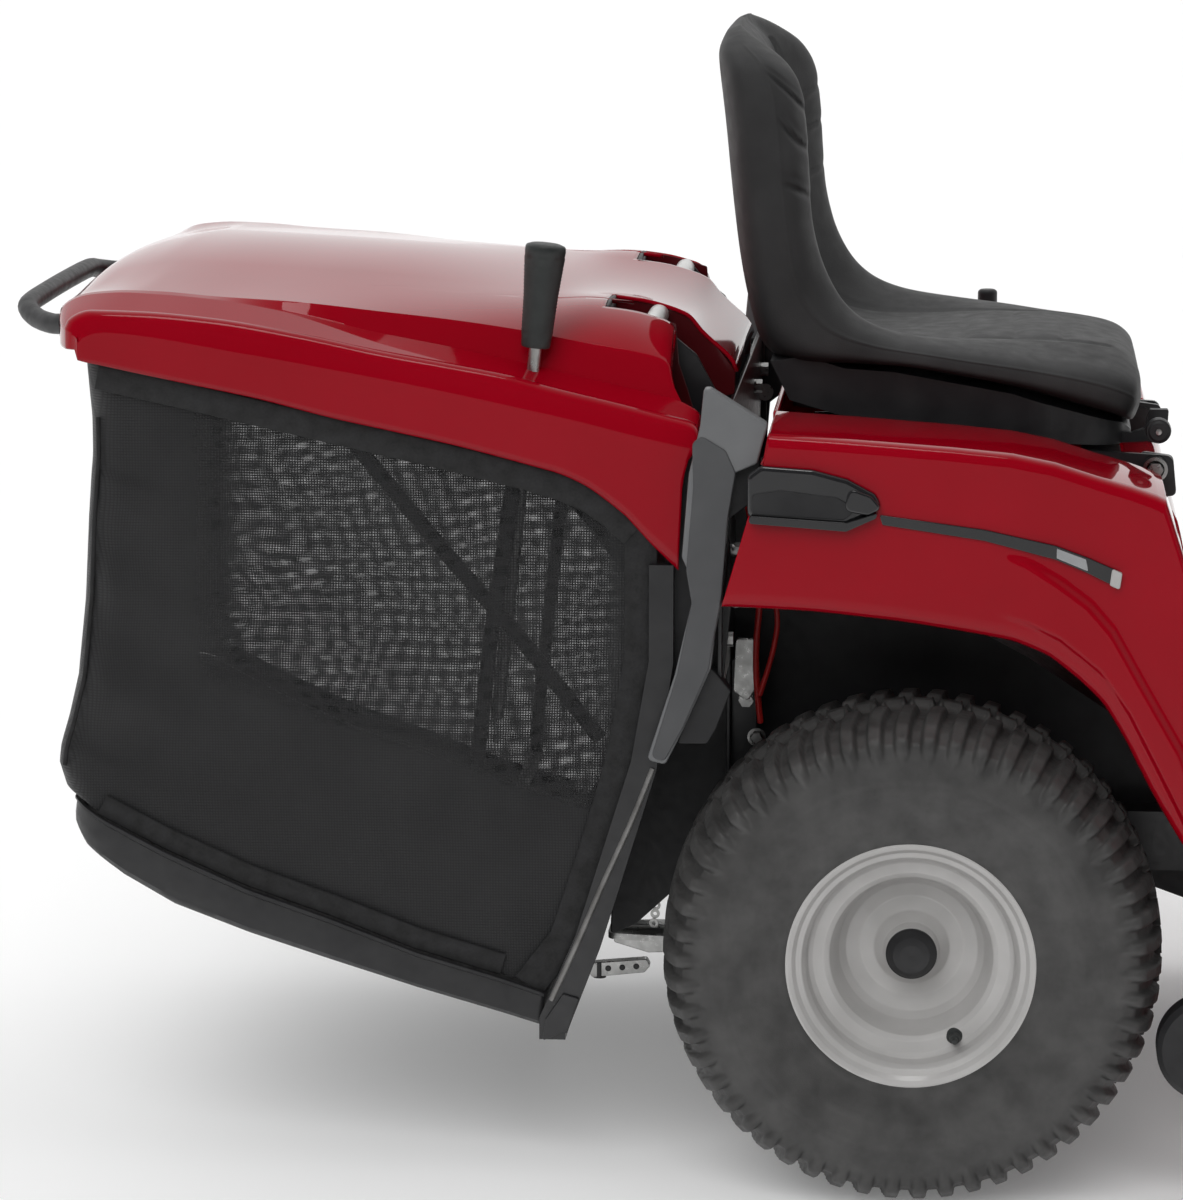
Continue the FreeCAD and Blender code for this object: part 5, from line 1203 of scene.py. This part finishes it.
# coil springs under the seat
for s in (-1, 1):
    hel = []
    turns = 5.5
    for k in range(int(turns * 16) + 1):
        a = 2 * math.pi * k / 16
        hel.append((-92 + 15.5 * math.cos(a), s * 80 + 15.5 * math.sin(a), 614.5 + 54 * k / (turns * 16)))
    pipe("seat_coil_%s" % ("right" if s < 0 else "left"), hel, 2.9, "chassis", "spring_steel", res=8, smooth_path=False, replaces=("seat_springs",) if s < 0 else ())
    hexbolt("seat_pivot_bolt_%s" % ("right" if s < 0 else "left"), 217, s * 193, 640, s, "seat_base", r=8)
revolve("clamp_knob_cap", [(0.01, -12.5), (8.0, -12.2), (11.2, -9.5, 1.5), (11.8, -5), (11.8, 2), (9.5, 3), (0.01, 3)], 219, 677, -193.5, 1, "seat_clamp", "black_plastic", n=40, closed=False)
revolve("clamp_pin", [(0.01, -1.8), (2.6, -1.6), (3.0, -0.6), (3.0, 2), (0.01, 2)], 219, 677, -206, 1, "seat_clamp", "zinc_steel", n=24, closed=False)

# --------------------------------------------------------- rear hardware
for s in (-1, 1):
    tag = "right" if s < 0 else "left"
    for k, (x, y, z) in enumerate(((-169, 232, 520), (-168, 300, 640), (-150, 210, 384), (-150, 210, 330))):
        hexbolt("frame_bolt_%s_%d" % (tag, k), x, s * y, z, s if k > 1 else s, "chassis", r=6)
    prism("cable_guide_" + tag, [(-170, 480), (-150, 480), (-146, 440), (-158, 420), (-172, 430)], s * 214, s * 222, "chassis", "zinc_steel", r=4, bevel=1)
# drawbar seen behind the wheel: grey flat bar with a row of holes and its pin
bm = bmesh.new()


def holed_bar(name, x0, z0, x1, z1, w, holes, y, t, body, material, slot):
    """Flat bar from (x0, z0) to (x1, z1), w wide, with round holes through it."""
    d = Vector((x1 - x0, 0, z1 - z0))
    L = d.length
    d.normalize()
    n = Vector((-d.z, 0, d.x))
    bm = bmesh.new()
    steps = []
    hr = w * 0.22
    # rows either side of each hole are bridged by an octagon-like ring
    cuts = [0.0] + [h * L for h in holes] + [L]
    def v(a, b, yy):
        p = Vector((x0, 0, z0)) + d * a + n * b
        return bm.verts.new(W(p.x, yy, p.z))
    for yy in (y, y + t):
        pass
    segs = 12
    prev = None
    faces = []
    for yy, flip in ((y, False), (y + t, True)):
        col = [v(0, -w / 2, yy), v(0, w / 2, yy)]
        for h in holes:
            c = h * L
            a = [v(c - hr * 1.8, -w / 2, yy), v(c - hr * 1.8, w / 2, yy)]
            b = [v(c + hr * 1.8, -w / 2, yy), v(c + hr * 1.8, w / 2, yy)]
            faces.append((col[0], col[1], a[1], a[0]))
            ringv = [v(c + hr * math.cos(2 * math.pi * k / segs + math.pi), hr * math.sin(2 * math.pi * k / segs + math.pi), yy) for k in range(segs)]
            # ring order: starts at -d side, goes round through -n, +d, +n
            q = segs // 4
            corners = [a[0], b[0], b[1], a[1]]
            mid0 = a
            faces.append((corners[0], ringv[1], ringv[0], corners[3]))
            faces.append((corners[0], ringv[q], ringv[q - 1], ringv[1]) if q > 2 else (corners[0], ringv[q], ringv[1]))
            faces.append((corners[0], corners[1], ringv[q + 1], ringv[q]))
            faces.append((corners[1], ringv[2 * q], ringv[2 * q - 1], ringv[q + 1]) if q > 2 else (corners[1], ringv[2 * q], ringv[q + 1]))
            faces.append((corners[1], corners[2], ringv[2 * q + 1], ringv[2 * q]))
            faces.append((corners[2], ringv[3 * q], ringv[3 * q - 1], ringv[2 * q + 1]) if q > 2 else (corners[2], ringv[3 * q], ringv[2 * q + 1]))
            faces.append((corners[2], corners[3], ringv[3 * q + 1], ringv[3 * q]))
            faces.append((corners[3], ringv[0], ringv[4 * q - 1], ringv[3 * q + 1]) if q > 2 else (corners[3], ringv[0], ringv[3 * q + 1]))
            col = b
        end = [v(L, -w / 2 * 0.8, yy), v(L, w / 2 * 0.8, yy)]
        faces.append((col[0], col[1], end[1], end[0]))
    for f in faces:
        if len(set(f)) >= 3:
            try:
                bm.faces.new(f)
            except ValueError:
                pass
    o = finish_mesh(name, bm, body, material, smooth=False)
    return o


prism("drawbar_arm", [(-303, 149), (-250, 149), (-170, 150), (-170, 136), (-240, 121), (-266, 120), (-300, 130)], -8, 8, "chassis", "zinc_steel", r=3, bevel=1)
pipe("drawbar_pin", [(-315, 0, 92), (-315, 0, 108)], 6.5, "chassis", "black_steel", res=20)
prism("drawbar_plate", [(-327, 100), (-322, 93), (-270, 99), (-264, 106), (-268, 113), (-320, 108)], -6, 6, "chassis", "zinc_steel", r=3, bevel=0.8)
for k in range(3):
    revolve("drawbar_hole_%d" % k, [(0.01, -0.8), (2.6, -0.8), (3.0, -0.2), (3.0, 0.8), (0.01, 0.8)], -306 + 14 * k, 102.5 + 1.3 * k, -6.2, 1, "chassis", "black_steel", n=24, closed=False)
for k in range(7):
    z = 152 + 9 * k
    revolve("chain_link_%d" % k, [(2.0, -1.1), (4.6, -1.1), (4.6, 1.1), (2.0, 1.1)], -260 + 1.0 * k, z, -14 + (2.4 if k % 2 else 0), 1, "chassis", "zinc_steel", n=20)

# wires beside the bulkhead: two clipped looms, kept by CAD, coloured red
nodes["wiring_harness"].data.materials.clear()
nodes["wiring_harness"].data.materials.append(M["wire_red"])
for n in ("frame_rails", "rear_plate", "floor_pan", "hitch_plate", "dashboard", "discharge_chute", "transaxle", "front_bumper", "front_axle_beam", "hood_grille", "engine_block", "deck_belt_cover"):
    soften(n, 0.0016 if n == "dashboard" else 0.0008)

# ---------------------------------------------------------------- bonnet
H_TOP = [(774, 882), (880, 884), (980, 882), (1100, 876), (1200, 866), (1300, 850), (1380, 822), (1440, 784), (1480, 730), (1500, 680), (1508, 620), (1511, 560)]
H_W = [(774, 248), (1000, 249), (1250, 248), (1372, 244), (1432, 222), (1470, 190), (1496, 150), (1508, 118), (1511, 100)]
H_BOT = [(774, 520), (1070, 500), (1120, 456), (1511, 454)]


def hood():
    bm = bmesh.new()
    xs = [774 + (1440 - 774) * k / 60 for k in range(61)] + [1440 + 70 * math.sin(math.pi / 2 * k / 26) for k in range(1, 27)]
    P = []
    for x in xs:
        zt, w, zb = smooth_table(H_TOP, x), smooth_table(H_W, x), lerp_table(H_BOT, x)
        zt = max(zt, zb + 20)
        row = []
        n = 64
        for k in range(n + 1):
            a = math.pi * k / n
            c, s = math.cos(a), math.sin(a)
            y = -w * math.copysign(abs(c) ** 0.36, c)
            z0 = zb + (zt - zb) * abs(s) ** 0.34
            yn = abs(y) / w
            # a raised spine and two flanks
            z = z0 - 5.0 * sstep(0.34, 0.44, yn) * (yn < 0.8) - 5.0 * (yn >= 0.8)
            row.append(W(x, y, min(z, zt)))
        # straight sides reach the lower edge
        P.append(row)
    V_ = grid(bm, P)
    front = V_[-1]
    mid = [bm.verts.new(W(1511.5, (v.co.y * 1000) * 0.98, max(456, v.co.z * 1000))) for v in front]
    for i in range(len(front) - 1):
        bm.faces.new((front[i], front[i + 1], mid[i + 1], mid[i]))
    # the opening behind the grille is left free
    o = finish_mesh("bonnet_shell", bm, "hood", "red_gloss", replaces=("hood_shell",))
    auto_smooth(o, 40)
    mod_solid(o, 0.004)
    return o


hood()
bm = bmesh.new()
# nose panel round the grille
ring_o = [(-112, 458), (-112, 560), (-96, 640), (-60, 676), (0, 684), (60, 676), (96, 640), (112, 560), (112, 458)]
ring_i = [(-92, 478), (-92, 556), (-80, 620), (-52, 642), (0, 646), (52, 642), (80, 620), (92, 556), (92, 478)]
P = [[W(1509.5, y, z) for y, z in ring_o], [W(1509.5, y, z) for y, z in ring_i], [W(1503.5, y * 0.97, z) for y, z in ring_i]]
grid(bm, P, closed_v=True)
o = finish_mesh("nose_panel", bm, "hood", "charcoal_plastic")
auto_smooth(o, 30)
mod_solid(o, 0.003)
for s in (-1, 1):
    tag = "right" if s < 0 else "left"
    bm = bmesh.new()
    P = []
    for i in range(13):
        row = []
        for j in range(17):
            u, v = i / 12, j / 16
            y = s * (126 + 84 * v)
            z = 640 + 56 * u + 14 * v
            xx = 1503 - 70 * v ** 1.6 - 26 * u * u
            bul = 5 * math.sin(math.pi * u) * math.sin(math.pi * v)
            row.append(W(min(xx + bul, 1513), y, z))
        P.append(row)
    grid(bm, P)
    o = finish_mesh("head_lamp_" + tag, bm, "hood", "lamp_lens")
    w_ = o.modifiers.new("seat_on_shell", "SHRINKWRAP")
    w_.target = bpy.data.objects["bonnet_shell"]
    w_.wrap_method = "NEAREST_SURFACEPOINT"
    w_.wrap_mode = "OUTSIDE_SURFACE"
    w_.offset = 0.0015
    mod_solid(o, 0.003, 0.0)
    for k in range(5):
        z = 600 + 22 * k
        prism("side_louvre_%s_%d" % (tag, k), [(1080 + 8 * k, z), (1260 - 6 * k, z + 4), (1256 - 6 * k, z + 12), (1084 + 8 * k, z + 8)], s * 246.5, s * 250.5, "hood", "black_plastic", r=3, bevel=1.2)
    prism("side_stripe_" + tag, [(800, 600), (1050, 566), (1060, 574), (800, 610)], s * 247, s * 250.4, "hood", "black_gloss", r=3, bevel=0.8)

# ------------------------------------------------------ steering wheel
sa = Vector((-math.sin(math.radians(20)), 0, math.cos(math.radians(20))))
sx = Vector((math.cos(math.radians(20)), 0, math.sin(math.radians(20))))
sy = Vector((0, 1, 0))
sc = Vector((622, 0, 1012))
bm = bmesh.new()
P = []
for k in range(144):
    t = 2 * math.pi * k / 144
    row = []
    for q in range(20):
        a = 2 * math.pi * q / 20
        tube_r = 12.6 + 0.5 * math.cos(t * 36)
        r = 175 + tube_r * math.cos(a) - 0.5
        h = tube_r * math.sin(a)
        row.append(W(*(sc + sx * (r * math.cos(t)) + sy * (r * math.sin(t)) + sa * h)))
    P.append(row)
grid(bm, P, closed_u=True, closed_v=True)
finish_mesh("wheel_rim_grip", bm, "steering", "grip_rubber", replaces=("steering_wheel",))


def spoke(name, ang):
    bm = bmesh.new()
    u = sx * math.cos(ang) + sy * math.sin(ang)
    v = sx * -math.sin(ang) + sy * math.cos(ang)
    P = []
    for k in range(25):
        t = k / 24
        r = 22 + (168 - 22) * t
        hw = 22 - 9 * math.sin(math.pi * min(1, t * 1.05)) + 3 * t
        lift = -9 + 6 * t * t
        row = []
        for a, b in ((-1, -0.2), (-0.82, 0.7), (-0.4, 1.0), (0.4, 1.0), (0.82, 0.7), (1, -0.2), (0.8, -1), (-0.8, -1)):
            row.append(W(*(sc + u * r + v * (a * hw) + sa * (lift + b * 4.5))))
        P.append(row)
    V_ = grid(bm, P, closed_v=True)
    bm.faces.new(V_[0])
    bm.faces.new(V_[-1][::-1])
    o = finish_mesh(name, bm, "steering", "black_plastic")
    auto_smooth(o, 50)


for i, a in enumerate((180, 315, 45)):
    spoke("wheel_spoke_%d" % i, math.radians(a))
bm = bmesh.new()
P = []
for k in range(64):
    t = 2 * math.pi * k / 64
    P.append([W(*(sc + sx * (r * math.cos(t)) + sy * (r * math.sin(t)) + sa * h)) for r, h in ((13, -30), (33, -30), (34, -20), (34, -2), (31, 3), (24, 5.5), (10, 6.2), (0.3, 6.2))])
grid(bm, P, closed_u=True)
o = finish_mesh("wheel_hub_cover", bm, "steering", "black_plastic")
auto_smooth(o, 35)

# instrument panel details
for k, (x, y, r) in enumerate(((668, 0, 24), (700, 0, 9), (700, 40, 7))):
    bm = bmesh.new()
    P = []
    for i in range(48):
        t = 2 * math.pi * i / 48
        P.append([W(x + rr * math.cos(t), y + rr * math.sin(t), z) for rr, z in ((r, 876), (r, 879.5), (r - 2, 881), (r - 4, 880), (0.3, 879.6))])
    grid(bm, P, closed_u=True)
    o = finish_mesh("panel_gauge_%d" % k, bm, "chassis", "black_gloss")
    auto_smooth(o, 35)
# ribbed foot mats
for s in (-1, 1):
    for k in range(9):
        prism("foot_mat_rib_%s_%d" % ("right" if s < 0 else "left", k), [(330 + 34 * k, 321.6), (346 + 34 * k, 321.6), (344 + 34 * k, 325.4), (332 + 34 * k, 325.4)], s * 232, s * 410, "chassis", "grip_rubber", r=1.2, bevel=0.8)

# ------------------------------------------------------------------- floor
bm = bmesh.new()
bmesh.ops.create_grid(bm, x_segments=8, y_segments=8, size=60)
for v in bm.verts:
    v.co.z = -0.0002
me = bpy.data.meshes.new("floor")
bm.to_mesh(me)
bm.free()
floor = bpy.data.objects.new("floor", me)
bpy.context.scene.collection.objects.link(floor)
fm = mat("floor_paint_and_glow", (0.84, 0.84, 0.84), (0.86, 0.86, 0.86), (0.85, 0.95), scale=0.4, bump=0.0, bscale=3, spec=0.1)
N, L = fm.node_tree.nodes, fm.node_tree.links
b = N["Principled BSDF"]
# a pale floor, darker well in front of the machine, with a painted glow: the floor emits light, most near the machine,
# which lifts the shadows on it
tc = N.new("ShaderNodeTexCoord")
sp = N.new("ShaderNodeSeparateXYZ")
L.new(tc.outputs["Object"], sp.inputs[0])
mr = N.new("ShaderNodeMapRange")
mr.interpolation_type = "SMOOTHSTEP"
mr.inputs["From Min"].default_value = -3.2
mr.inputs["From Max"].default_value = -0.9
L.new(sp.outputs["Y"], mr.inputs["Value"])
mx = N.new("ShaderNodeMix")
mx.data_type = "RGBA"
old = b.inputs["Base Color"].links[0].from_socket
mx.inputs[6].default_value = (0.52, 0.52, 0.52, 1)
L.new(mr.outputs["Result"], mx.inputs[0])
L.new(old, mx.inputs[7])
L.new(mx.outputs[2], b.inputs["Base Color"])
# painted glow: emission colour, brighter near the machine, to lighten the shadows on the floor
floor_glow_mix = N.new("ShaderNodeMix")
floor_glow_mix.data_type = "RGBA"
floor_glow_mix.inputs[6].default_value = (0.03, 0.03, 0.03, 1)
floor_glow_mix.inputs[7].default_value = (0.14, 0.14, 0.14, 1)
L.new(mr.outputs["Result"], floor_glow_mix.inputs[0])
L.new(floor_glow_mix.outputs[2], b.inputs["Emission Color"])
b.inputs["Emission Strength"].default_value = 1.0
me.materials.append(fm)

bpy.context.view_layer.update()
